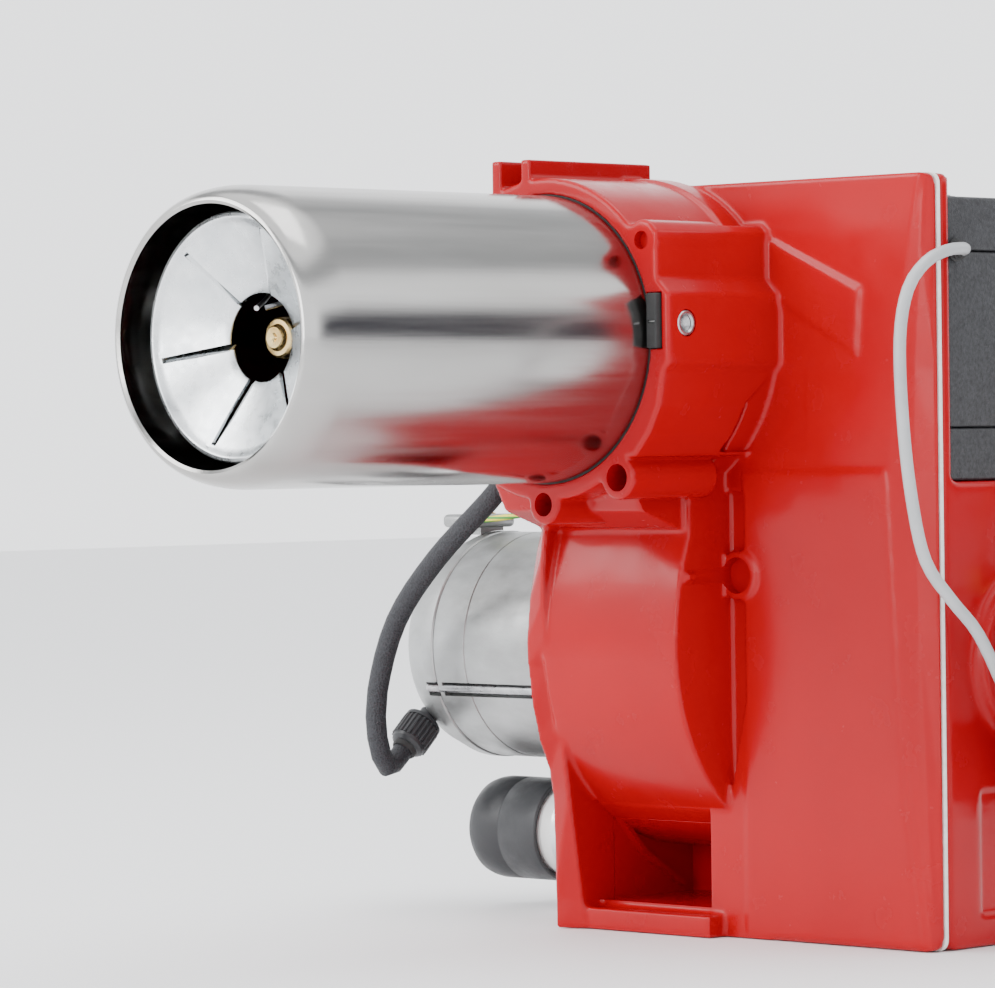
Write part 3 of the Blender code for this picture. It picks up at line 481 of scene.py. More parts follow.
def gasket_fibre():
    r = Recipe("gasket_fibre", (0.88, 0.87, 0.84), 0.9)
    r.colour(r.noise(300, 5), 0.3, 0.7, (0.76, 0.74, 0.70), (0.92, 0.91, 0.89))
    return r.bump(r.noise(900, 4), 0.4, 0.0004).material


def earth_sleeve():
    """Yellow insulation with a green stripe along it."""
    r = Recipe("earth_sleeve", (0.75, 0.68, 0.04), 0.4)
    wave = r.add("ShaderNodeTexWave", bands_direction="Z")
    wave.inputs["Scale"].default_value = 160
    r.join(r.coords, wave.inputs["Vector"])
    return r.colour(wave.outputs["Fac"], 0.45, 0.55, (0.05, 0.28, 0.04), (0.80, 0.72, 0.05)).material


def red_plastic():
    r = Recipe("red_plastic", (0.65, 0.02, 0.015), 0.22, Transmission_Weight=0.15)
    return r.gloss(r.noise(200, 3), 0.3, 0.7, 0.16, 0.3).material


FINISHES = {
    "red_enamel": red_enamel(),
    "stainless": stainless(),
    "zinc_plate": zinc_plate(),
    "cast_aluminium": cast_aluminium(),
    "machined_steel": machined_steel(),
    "brass": brass(),
    "copper": copper(),
    "copper_winding": copper_winding(),
    "ceramic": ceramic(),
    "fan_steel": fan_steel(),
    "black_plastic": plastic("black_plastic", (0.022, 0.023, 0.026), 0.34, 0.52, 700, 0.12),
    "grey_plastic": plastic("grey_plastic", (0.46, 0.47, 0.48), 0.32, 0.45, 400, 0.06),
    "white_plastic": plastic("white_plastic", (0.86, 0.86, 0.85), 0.28, 0.4, 300, 0.05),
    "cover_plastic": cover_plastic(),
    "rubber": rubber(),
    "braid": braid(),
    "gasket_fibre": gasket_fibre(),
    "earth_sleeve": earth_sleeve(),
    "red_plastic": red_plastic(),
}


# ---------------------------------------------------------------- castings

def joint_outline(inset=0.0):
    """Outline of the joint between the castings, in x and z."""
    corners = [
        (RIGHT_X - inset, inset), (RIGHT_X - inset, TOP_Z - inset),
        (UPPER_LEFT_X + inset, TOP_Z - inset), (UPPER_LEFT_X + inset, 0.184 + inset / 2),
        (LEFT_X + inset, 0.168 + inset / 2), (LEFT_X + inset, inset),
    ]
    return rounded(corners, 0.005)


def spiral(extra, first, last, count):
    """The scroll's curve in y and z, growing as it turns down behind the fan and up in front."""
    points = []
    for k in range(count + 1):
        angle = first + (last - first) * k / count
        radius = 0.058 + 0.028 * (100 - angle) / 280 + extra
        points.append(polar(radius, angle, (FAN_Y, FAN_Z)))
    return points


def scroll_air():
    """The air passage around the fan and up into the collar, in y and z."""
    around = spiral(0, 100, -180, 72)
    return around + [(0.0395, 0.135), (0.048, 0.160), (0.048, 0.205), (0.073, 0.205), (0.073, 0.174)]


def under_scroll():
    """The open pocket between the scroll's underside and the base."""
    curve = spiral(0.0042, -136, -92, 14)
    return curve + [(0.122, 0.011), (0.050, 0.011), (0.050, 0.050)]


def edge_roll():
    """Cutter that rolls the wall's right edge back towards the joint."""
    rows = [(-0.01, 0.002), (0.0045, 0.0032), (0.059, 0.0105), (0.125, 0.0180), (0.186, 0.0215),
            (0.226, 0.0185), (0.270, 0.0110), (0.302, 0.0045), (0.315, 0.0035)]
    return lofted([
        [(RIGHT_X - reach, WALL_Y - 0.0001, z), (RIGHT_X - reach * 0.45, WALL_Y + 0.0014, z),
         (RIGHT_X + 0.0002, JOINT_Y - 0.0012, z), (RIGHT_X + 0.02, JOINT_Y - 0.001, z),
         (RIGHT_X + 0.02, WALL_Y - 0.02, z), (RIGHT_X - reach, WALL_Y - 0.02, z)]
        for z, reach in rows
    ])


def flank():
    """Cheek beside the scroll: its face runs from the outer edge to a ridge next to the drum."""
    rows = [
        (0.0, 0.0500, 0.0550), (0.012, 0.0500, 0.0540), (0.052, 0.0494, 0.0478), (0.064, 0.0470, 0.0462),
        (0.078, 0.0408, 0.0440), (0.092, 0.0370, 0.0418), (0.108, 0.0350, 0.0382),
        (0.117, 0.0346, 0.0343), (0.133, 0.0365, 0.0338), (0.152, 0.0410, 0.0342),
        (0.165, 0.0452, 0.0362), (0.190, 0.0470, 0.0390)
    ]
    return lofted([
        [(LEFT_X, outer, z), (LEFT_X + 0.0095, ridge, z), (LEFT_X + 0.0112, ridge, z),
         (LEFT_X + 0.0112, 0.071, z), (LEFT_X, 0.071, z)]
        for z, outer, ridge in rows
    ])


def cheek_rib(low_y, high_y):
    """Thin raised line that follows the scroll on the cheek's inner side."""
    line = [
        Vector(p)
        for p in (
            (0.040, 0.100), (0.045, 0.090), (0.054, 0.073), (0.066, 0.056), (0.090, 0.030), (0.114, 0.015)
        )
    ]
    band = [p for p in line] + [p + Vector((-0.0016, -0.0012)) for p in reversed(line)]
    bm = slab([tuple(p) for p in band], "X", LEFT_X + 0.0100, LEFT_X + 0.0150)
    bmesh.ops.bisect_plane(bm, geom=bm.verts[:] + bm.edges[:] + bm.faces[:], plane_co=(0, low_y, 0),
                           plane_no=(0, -1, 0), clear_outer=True)
    bmesh.ops.bisect_plane(bm, geom=bm.verts[:] + bm.edges[:] + bm.faces[:], plane_co=(0, high_y, 0),
                           plane_no=(0, 1, 0), clear_outer=True)
    bmesh.ops.holes_fill(bm, edges=bm.edges[:], sides=0)
    bmesh.ops.recalc_face_normals(bm, faces=bm.faces)
    return bm


def shoulder():
    """Cast block on the side of the collar, stepped in front view and tapered behind."""
    front_view = [(0.020, 0.284), (0.058, 0.284), (0.0612, 0.281), (0.0612, 0.2625), (0.0672, 0.2565),
                  (0.0672, 0.2295), (0.0640, 0.2265), (0.0615, 0.2130), (0.0560, 0.2020), (0.0485, 0.1930),
                  (0.020, 0.193)]
    return slab(front_view, "Y", 0.0, WALL_Y + 0.002)


def front_casting():
    """Collar, scroll front, neck and intake wall in one casting, with lugs, bosses and the side rib."""
    grain = 0.0009
    bosses = [(0.0535, 0.2775, 0.0080, 0.0), (0.039, 0.185, 0.0086, 0.0), (-0.001, 0.1745, 0.0080, 0.0),
              (0.044, 0.145, 0.0098, 0.0640)]
    scroll = slab(
        [(0.071, 0.0470)] + spiral(0.004, -134, -180, 24)
        + [(0.0349 + 0.0091 * (k / 16) ** 1.9, 0.1165 + 0.0465 * k / 16) for k in range(1, 17)]
        + [(0.0440, 0.200), (0.071, 0.200)],
        "X", LEFT_X + 0.009, 0.0372,
    )
    neck = slab(
        [
            (0.0140, 0.2150), (0.0140, 0.1830), (0.0200, 0.1715), (0.0400, 0.1645), (0.0700, 0.1630),
            (0.0700, 0.2150)
        ], "X", -0.042, 0.034,
    )
    corner_wall = slab([(0.0272, 0.0), (0.0272, 0.0600), (0.0475, 0.1040), (0.060, 0.104), (0.060, 0.0)],
                       "Y", WALL_Y - 0.0004, JOINT_Y)
    fold = slab(
        [
            (0.056, 0.2795), (0.060, 0.2795), (0.1085, 0.2575), (0.1065, 0.2325), (0.060, 0.2580),
            (0.056, 0.2580)
        ], "Y", WALL_Y - 0.0011, WALL_Y + 0.002
    )
    apron = slab([(0.0468, 0.002), (0.0468, 0.1862), (0.1205, 0.1862), (0.128, 0.060), (0.136, 0.002)],
                 "Y", WALL_Y - 0.0009, WALL_Y + 0.002)
    lip = brick((LEFT_X + 0.001, 0.0562, 0.0), (0.034, 0.0712, 0.0085))
    solids = [
        slab(joint_outline(), "Y", WALL_Y, JOINT_Y),
        bar("Y", (0, 0, TUBE_Z), COLLAR_RADIUS, JOINT_Y - 0.001, 128), scroll, flank(), neck, shoulder(),
        lip, fold, apron, corner_wall,
    ]
    taper = slab(
        [(0.0662, 0.2275), (0.0515, 0.2135), (0.0490, 0.1945), (0.0662, 0.1945)], "X", 0.0300, 0.080
    )
    hollows = [
        taper, edge_roll(),
        brick((0.0372, 0.045, 0.0940), (0.0468, 0.0688, 0.1785)),
        slab([(0.0372, 0.058), (0.0385, 0.058), (0.0468, 0.0945), (0.0372, 0.0945)], "Y", 0.045, 0.0688),
        bar("Y", (0, -0.02, TUBE_Z), 0.0574, 0.055, 128),
        bar("Y", (0, 0.02, TUBE_Z), 0.056, 0.070, 64),
        slab(scroll_air(), "X", -0.0335, 0.0315),
    ]
    details = [bar("Y", (x, y, z), r, WALL_Y + 0.004 - y, 64) for x, z, r, y in bosses[3:]]
    details += [bar("Y", (x, y, z), r, 0.040, 64) for x, z, r, y in bosses[:1]]
    details += [bar("Y", (x, y, z), r, 0.050, 64) for x, z, r, y in bosses[1:3]]
    details += [brick((x - 0.0026, 0.0, 0.292), (x + 0.0026, 0.0712, 0.3118)) for x in (-0.025, -0.009)]
    details += [
        brick((0.0360, 0.0405, 0.1436), (0.0394, 0.0695, 0.1464)),
        sleeve("Y", (0, 0.0540, TUBE_Z), 0.0600, 0.0652, 0.0120, 96),
    ]
    pocket_rim = brick((-0.0375, 0.0690, 0.0060), (0.0300, 0.0737, 0.0505))
    solids.append(pocket_rim)
    cast = cast_shape("front_casting_body", solids, hollows, details, grain, 2, 0.34)
    drills = [
        bar("Y", (0.0535, -0.004, 0.2775), 0.0036, 0.0075, 32),
        bar("Y", (0.039, -0.004, 0.185), 0.0054, 0.030, 40),
        bar("Y", (-0.001, -0.004, 0.1745), 0.0047, 0.014, 40),
        bar("Y", (0.044, 0.045, 0.145), 0.0073, 0.0237, 48),
        bar("X", (0.0580, 0.0108, 0.245), 0.0053, 0.020, 32),
        brick((0.0560, -0.004, 0.2348), (0.0640, 0.0044, 0.2572)),
        bar("Y", (0, -0.02, TUBE_Z), 0.0573, 0.055, 160),
        slab(under_scroll(), "X", LEFT_X + 0.0112, 0.0272),
    ]
    carve(cast, drills, "MANIFOLD")
    piece("front_cheek_rib", cheek_rib(0.040, 0.0736), "housing", "red_enamel")
    return show(cast, "housing", "red_enamel", ["front_casting"], 50)


def rear_casting():
    """Rear half of the scroll and the intake chamber, with the air opening in its back."""
    grain = 0.0015
    solids = [
        slab(joint_outline(), "Y", FLANGE_Y, HOUSING_Y),
        brick((LEFT_X, 0.078, 0.0), (RIGHT_X, REAR_Y, 0.182)),
        bar("X", (RIGHT_X - 0.002, FAN_Y, FAN_Z), 0.034, 0.008, 96),
        sleeve("X", (RIGHT_X - 0.002, DAMPER_Y, DAMPER_Z), 0.0034, 0.0075, 0.0048, 48),
    ]
    panel = brick((RIGHT_X - 0.0011, 0.094, 0.012), (RIGHT_X + 0.003, 0.182, 0.062))
    hollows = [
        slab(scroll_air(), "X", -0.041, 0.032), brick((0.036, 0.060, 0.004), (0.139, 0.194, 0.178)),
        bar("X", (0.028, FAN_Y, FAN_Z), 0.042, 0.012, 96),
        bar("X", (-0.050, FAN_Y, FAN_Z), 0.056, 0.014, 96), panel,
        brick((0.056, REAR_Y - 0.012, 0.024), (0.124, REAR_Y + 0.010, 0.090)),
        brick((LEFT_X + 0.006, REAR_Y - 0.0012, 0.010), (0.046, REAR_Y + 0.003, 0.092)),
    ]
    details = [
        brick((x - 0.0016, REAR_Y - 0.004, 0.104), (x + 0.0016, REAR_Y, 0.176))
        for x in (-0.030, 0.015, 0.060, 0.105)
    ]
    cast = cast_shape("rear_casting_body", solids, hollows, details, grain, 3, 0.5)
    drills = [
        bar("X", (0.130, FAN_Y, FAN_Z), 0.018, 0.030, 64),
        bar("X", (0.130, DAMPER_Y, DAMPER_Z), 0.0034, 0.030, 32),
        bar("Y", (0, 0.065, TUBE_Z), 0.0085, 0.020, 32),
        bar("Y", (-0.035, 0.065, 0.218), 0.0068, 0.020, 32),
        slab(under_scroll(), "X", LEFT_X + 0.0112, 0.0272),
    ]
    carve(cast, drills, "MANIFOLD")
    piece("rear_cheek_rib", cheek_rib(0.0740, 0.118), "housing", "red_enamel")
    return show(cast, "housing", "red_enamel", ["rear_casting"], 50)


def casting_gasket():
    """Pale fibre ring between the two castings."""
    low = JOINT_Y + 0.0003
    obj = to_object(slab(joint_outline(-0.0001), "Y", low, low + 0.0019), "casting_gasket")
    carve(obj, [slab(joint_outline(0.005), "Y", low - 0.01, low + 0.01)])
    return show(obj, "housing", "gasket_fibre", ["body_gasket"])


# ---------------------------------------------------------------- tube and firing head

def blast_tube():
    """Thin stainless tube with its mouth drawn in to a rounded lip, and its long weld."""
    lip = TUBE_RADIUS - MOUTH_RADIUS
    mouth = -TUBE_LENGTH
    outer = [polar(1, 90 * k / 12) for k in range(13)]
    profile = [(TUBE_RADIUS, 0.030), (TUBE_RADIUS, -0.060)]
    profile += [(MOUTH_RADIUS + lip * c, mouth + 0.020 - 0.0200 * s) for c, s in outer]
    profile += [(MOUTH_RADIUS - 0.0012, mouth + 0.0008), (MOUTH_RADIUS - 0.0004, mouth + 0.0022)]
    inner = lip - 0.0015
    profile += [(MOUTH_RADIUS + inner * c, mouth + 0.020 - 0.0175 * s) for c, s in reversed(outer)]
    profile += [(TUBE_RADIUS - 0.0015, -0.060), (TUBE_RADIUS - 0.0015, 0.030)]
    obj = to_object(lathe(profile, "Y", (0, 0, TUBE_Z), 160), "blast_tube_shell")
    show(obj, "housing", "stainless", ["blast_tube"], 40)
    seam = brick(
        (-0.0011, -0.158, TUBE_Z - TUBE_RADIUS - 0.00025),
        (0.0011, -0.001, TUBE_Z - TUBE_RADIUS + 0.0004), 0.0002
    )
    spun(seam, math.radians(28), "Y", (0, 0, TUBE_Z))
    piece("tube_weld_seam", seam, "housing", "stainless")


def tube_fittings():
    """Rope seal, rubber clip and threaded insert where the tube meets the collar."""
    seal = sleeve("Y", (0, 0.0006, TUBE_Z), 0.05705, 0.05745, 0.006, 96, 0.00005)
    piece("tube_rope_seal", seal, "housing", "rubber")
    clip = to_object(brick((0.0580, -0.0028, 0.2353), (0.0632, 0.0042, 0.2567), 0.0008), "tube_clip_rubber")
    carve(clip, [brick((0.0590, -0.004, 0.2452), (0.0626, -0.0016, 0.2462))])
    show(clip, "housing", "rubber", ["tube_clip"])
    piece(
        "tube_clip_pin", brick((0.0590, -0.0024, 0.2454), (0.0622, -0.0016, 0.2460), 0.0002), "housing",
        "machined_steel"
    )
    profile = [(0.0032, 0.0006), (0.0036, 0.0), (0.0046, 0.0), (0.0050, 0.0004), (0.0050, 0.0080),
               (0.0050, 0.0084), (0.0046, 0.0088), (0.0038, 0.0088), (0.0032, 0.0080)]
    threads = []
    for k in range(10):
        threads += [(0.0032, 0.0075 - 0.0007 * k), (0.0029, 0.00715 - 0.0007 * k)]
    piece("threaded_insert_steel", lathe(profile + threads, "X", (0.0585, 0.0108, 0.245), 40), "housing",
          "machined_steel", ["threaded_insert"])


def flame_disc():
    """Cone of six petals: each slot's edge is folded back, and the rim is turned over."""
    dish = DISC_DISH
    profile = [(0.0168, dish), (0.0168, dish + 0.0006), (0.0176, dish + 0.0010)]
    steps = 12
    profile += [
        (0.0176 + 0.0269 * k / steps, dish + 0.0010 - (dish - 0.0014) * k / steps)
        for k in range(1, steps + 1)
    ]
    profile += [
        (0.0455, 0.0032), (0.0457, 0.0120), (0.0470, 0.0120), (0.0470, 0.0010), (0.0464, 0.0002),
        (0.0452, 0.0), (0.0444, 0.0004)
    ]
    profile += [
        (0.0436 - 0.0264 * k / steps, 0.0014 + (dish - 0.0018) * k / steps) for k in range(steps + 1)
    ]
    obj = to_object(lathe(profile, "Y", (0, DISC_Y, TUBE_Z), 180), "flame_disc")
    slots, folds = [], []
    for k in range(PETALS):
        angle = math.radians(-SLOT_ANGLE - 360 / PETALS * k)
        gap = brick((0.0150, DISC_Y - 0.01, -0.0011), (0.0425, DISC_Y + 0.022, 0.0011))
        bmesh.ops.translate(gap, vec=(0, 0, TUBE_Z), verts=gap.verts)
        slots.append(spun(gap, angle, "Y", (0, 0, TUBE_Z)))
        edge = [(0.0180, dish - 0.0006), (0.0420, 0.0026)]
        rows = []
        for r, h in edge:
            deep = 0.0036 if r < 0.03 else 0.0018
            rows.append(
                [
                    (r, DISC_Y + h, TUBE_Z + 0.0011), (r, DISC_Y + h + deep, TUBE_Z - 0.0012),
                    (r, DISC_Y + h + deep + 0.0006, TUBE_Z - 0.0008),
                    (r, DISC_Y + h + 0.0007, TUBE_Z + 0.0016)
                ]
            )
        folds.append(spun(lofted(rows), angle, "Y", (0, 0, TUBE_Z)))
    carve(obj, slots)
    middle = ZERO + Vector((0, DISC_Y, TUBE_Z))
    for vertex in obj.data.vertices:
        x, z = vertex.co.x - middle.x, vertex.co.z - middle.z
        radius = math.hypot(x, z)
        if radius < 0.0435:
            share = ((math.degrees(math.atan2(z, x)) - SLOT_ANGLE) % 60) / 60
            vertex.co.y += 0.0016 * (0.5 - share) * min(1, (0.0435 - radius) / 0.012)
    show(obj, "firing_head", "zinc_plate", ["diffuser_disc"], 28)
    piece("flame_disc_folds", gathered(folds), "firing_head", "zinc_plate")


def head_bracket():
    ring = sleeve("Y", (0, -0.110, TUBE_Z), 0.0052, 0.0095, 0.010, 48)
    arms = []
    for k in range(3):
        path = [(0.008, -0.108), (0.0405, -0.108), (0.0425, -0.1100), (0.0425, -0.1622), (0.0438, -0.1622),
                (0.0438, -0.1090), (0.0412, -0.1066), (0.008, -0.1066)]
        arm = slab(path, "Z", TUBE_Z - 0.0038, TUBE_Z + 0.0038)
        arms.append(spun(arm, math.radians(95 + 120 * k), "Y", (0, 0, TUBE_Z)))
    screw = bar("Z", (0, -0.105, TUBE_Z + 0.0085), 0.0022, 0.004, 6)
    piece(
        "disc_carrier", gathered([ring, *arms, screw]), "firing_head", "zinc_plate", ["disc_bracket"],
        bevel=0.0003
    )


def nozzle():
    """Brass spray nozzle on its hexagon, and the steel oil line that holds it."""
    y = NOZZLE_TIP_Y
    tip = lathe(
        [
            (0.0, y + 0.0018), (0.0004, y + 0.0010), (0.0015, y + 0.0002), (0.0018, y), (0.0040, y),
            (0.0046, y + 0.0006), (0.0052, y + 0.0020), (0.0068, y + 0.0022), (0.0076, y + 0.0030),
            (0.0076, y + 0.0075), (0.0, y + 0.0075)
        ], "Y", (0, 0, TUBE_Z), 64
    )
    nut = lathe(
        [
            (0.0078, y + 0.0075), (0.0091, y + 0.0082), (0.0091, y + 0.0120), (0.0080, y + 0.0128),
            (0.0, y + 0.0128), (0.0, y + 0.0075)
        ], "Y", (0, 0, TUBE_Z), 6
    )
    stem = bar("Y", (0, y + 0.006, TUBE_Z), 0.0045, 0.0100, 24)
    piece("spray_nozzle", gathered([tip, nut, stem]), "firing_head", "brass", ["oil_nozzle"])
    adapter = lathe(
        [
            (0.0, y + 0.0163), (0.0085, y + 0.0163), (0.0095, y + 0.0172), (0.0095, y + 0.0305),
            (0.0085, y + 0.0313), (0.0060, y + 0.0313), (0.0050, y + 0.0343), (0.0050, 0.100),
            (0.0, 0.100)
        ], "Y", (0, 0, TUBE_Z), 48
    )
    piece("oil_line_tube", adapter, "firing_head", "machined_steel", ["oil_line"])


def electrodes():
    for name, side in (("a", -1), ("b", 1)):
        at = Vector((side * 0.011, -0.128, TUBE_Z + 0.017))
        rings = [(0.0013, 0), (0.0024, 0), (0.0030, 0.0010), (0.0036, 0.0045)]
        for k in range(5):
            y = 0.008 + 0.004 * k
            rings += [(0.0036, y), (0.0032, y + 0.0008), (0.0036, y + 0.0016)]
        rings += [(0.0036, 0.060), (0.0013, 0.060)]
        piece(
            f"insulator_{name}", lathe(rings, "Y", at, 32), "firing_head", "ceramic",
            [f"electrode_insulator_{name}"]
        )
        route = [at + Vector(step) for step in ((0, 0.066, 0), (0, 0.02, 0), (0, -0.003, 0), (0, -0.009, 0),
                 (-side * 0.00275, -0.015, -0.003), (-side * 0.00858, -0.0245, -0.006))]
        strand(
            f"electrode_tip_{name}", route, 0.0010, "firing_head", "machined_steel",
            [f"electrode_wire_{name}"]
        )
    clamp = brick((-0.0163, -0.0978, TUBE_Z + 0.0005), (0.0163, -0.0902, TUBE_Z + 0.0218), 0.0010)
    obj = to_object(clamp, "electrode_clamp_block")
    carve(obj, [bar("Y", (side * 0.011, -0.11, TUBE_Z + 0.017), 0.0039, 0.03, 24) for side in (-1, 1)])
    carve(obj, [bar("Y", (0, -0.11, TUBE_Z), 0.0052, 0.03, 32)])
    carve(obj, [bar("Z", (0, -0.094, TUBE_Z + 0.0205), 0.0018, 0.004, 16)])
    show(obj, "firing_head", "zinc_plate", ["electrode_clamp"])


# ---------------------------------------------------------------- cables and pipes

def flowing(route, step):
    """Points on one smooth curve through a route whose first and last legs are straight."""
    points = [Vector(p) for p in route]
    fine = [points[0]]
    for a, b, c, d in zip(points, points[1:], points[2:], points[3:]):
        count = max(2, round((c - b).length / step))
        for k in range(count):
            t = k / count
            fine.append(
                0.5 * (2 * b + (c - a) * t + (2 * a - 5 * b + 4 * c - d) * t ** 2
                       + (3 * b - a - 3 * c + d) * t ** 3)
            )
    return fine + [points[-2], points[-1]]


def strand(name, route, radius, body, finish, replaces, step=None):
    points = flowing(route, step or radius * 2)
    curve = bpy.data.curves.new(name, "CURVE")
    curve.dimensions = "3D"
    curve.bevel_depth = radius
    curve.bevel_resolution = 6
    curve.use_fill_caps = True
    line = curve.splines.new("POLY")
    line.points.add(len(points) - 1)
    for spot, point in zip(line.points, points):
        spot.co = (*(point + ZERO), 1)
    line.use_smooth = True
    obj = bpy.data.objects.new(name, curve)
    bpy.context.collection.objects.link(obj)
    show(obj, body, finish, replaces)
    return obj, points


MOTOR_CABLE_ROUTE = [
    (-0.160, 0.07738, 0.06791), (-0.160, 0.0745, 0.0652), (-0.159, 0.0660, 0.0612),
    (-0.1575, 0.0590, 0.074), (-0.1560, 0.0580, 0.094), (-0.1440, 0.0580, 0.124),
    (-0.1190, 0.0580, 0.151), (-0.0840, 0.0600, 0.180), (-0.0810, 0.0740, 0.2000),
    (-0.0840, 0.0980, 0.2180), (-0.0800, 0.1160, 0.2250), (-0.0720, 0.1200, 0.2250),
    (-0.0664, 0.1200, 0.2250),
]
COIL_LEAD_ROUTE = [
    (0.1416, 0.0850, 0.2720), (0.1450, 0.0850, 0.2720), (0.1495, 0.0800, 0.2723), (0.1518, 0.0670, 0.2712),
    (0.1520, 0.0540, 0.2665), (0.1520, 0.0430, 0.2560), (0.1520, 0.0378, 0.2370), (0.1520, 0.0390, 0.2060),
    (0.1520, 0.0438, 0.1755), (0.1525, 0.0510, 0.1520), (0.1540, 0.0640, 0.1370), (0.1570, 0.0770, 0.1230),
    (0.1630, 0.0860, 0.1000), (0.1680, 0.0915, 0.0810), (0.1685, 0.0980, 0.0702), (0.1685, 0.1040, 0.0700),
    (0.1685, 0.1076, 0.0700),
]
EARTH_WIRE_ROUTE = [
    (-0.1417, 0.1100, 0.1660), (-0.1300, 0.1100, 0.1670), (-0.1150, 0.1110, 0.1690),
    (-0.0950, 0.1130, 0.1730), (-0.0810, 0.1180, 0.1830), (-0.0710, 0.1240, 0.1926),
    (-0.0650, 0.1240, 0.1930), (-0.0604, 0.1240, 0.1930),
]
OIL_PIPE_ROUTE = [
    (0.000, 0.1167, 0.240), (0.000, 0.1220, 0.240), (0.003, 0.1330, 0.2415), (0.012, 0.1440, 0.248),
    (0.040, 0.1500, 0.258), (0.080, 0.1490, 0.2600), (0.118, 0.1450, 0.254), (0.136, 0.1405, 0.237),
    (0.148, 0.1380, 0.221), (0.158, 0.1340, 0.198), (0.1640, 0.1270, 0.172), (0.165, 0.1250, 0.1550),
    (0.165, 0.1250, 0.1477),
]


def cables():
    """The three free leads, each going back into the burner at both ends."""
    for name, route, radius, finish, node, slot, stiff in (
        (
            "motor_cable_sleeve", MOTOR_CABLE_ROUTE, 0.0045, "braid", "motor_cable", "black_plastic",
            "stiff"
        ),
        (
            "coil_lead_cable", COIL_LEAD_ROUTE, 0.0024, "grey_plastic", "coil_lead", "grey_plastic",
            "stiff"
        ),
        (
            "earth_wire_core", EARTH_WIRE_ROUTE, 0.0013, "earth_sleeve", "earth_wire", "earth_sleeve",
            "stiff"
        ),
    ):
        obj, points = strand(name, route, radius, "housing", finish, [node])
    strand("oil_pipe_copper", OIL_PIPE_ROUTE, 0.0020, "housing", "copper", ["oil_pipe"])


# ---------------------------------------------------------------- motor

def hex_head(axis, at, radius, height, body, name, finish="machined_steel", replaces=()):
    """Hexagon head with its corners turned off and a washer under it."""
    side = -1 if height < 0 else 1
    h = abs(height)
    profile = [
        (0, side * h * 0.25), (radius * 0.98, side * h * 0.25), (radius, side * h * 0.4),
        (radius, side * h * 0.85), (radius * 0.86, side * h), (0, side * h)
    ]
    washer = [(0, 0), (radius * 1.3, 0), (radius * 1.3, side * h * 0.2), (0, side * h * 0.2)]
    piece(
        name, gathered([lathe(profile, axis, at, 6), lathe(washer, axis, at, 32)]), body, finish, replaces
    )


def socket_screw(axis, at, radius, height, body, name, replaces=()):
    """Round screw head with a hexagon socket."""
    side = -1 if height < 0 else 1
    h = abs(height)
    edge = radius * 0.12
    head = lathe(
        [(0, 0), (radius, 0), (radius, side * (h - edge)), (radius - edge, side * h), (0, side * h)],
        axis, at, 32
    )
    obj = to_object(head, name)
    pocket = lathe(
        [
            (0, side * h * 0.35), (radius * 0.55, side * h * 0.35), (radius * 0.55, side * (h + 0.001)),
            (0, side * (h + 0.001))
        ], axis, at, 6
    )
    carve(obj, [pocket])
    show(obj, body, "machined_steel", replaces)


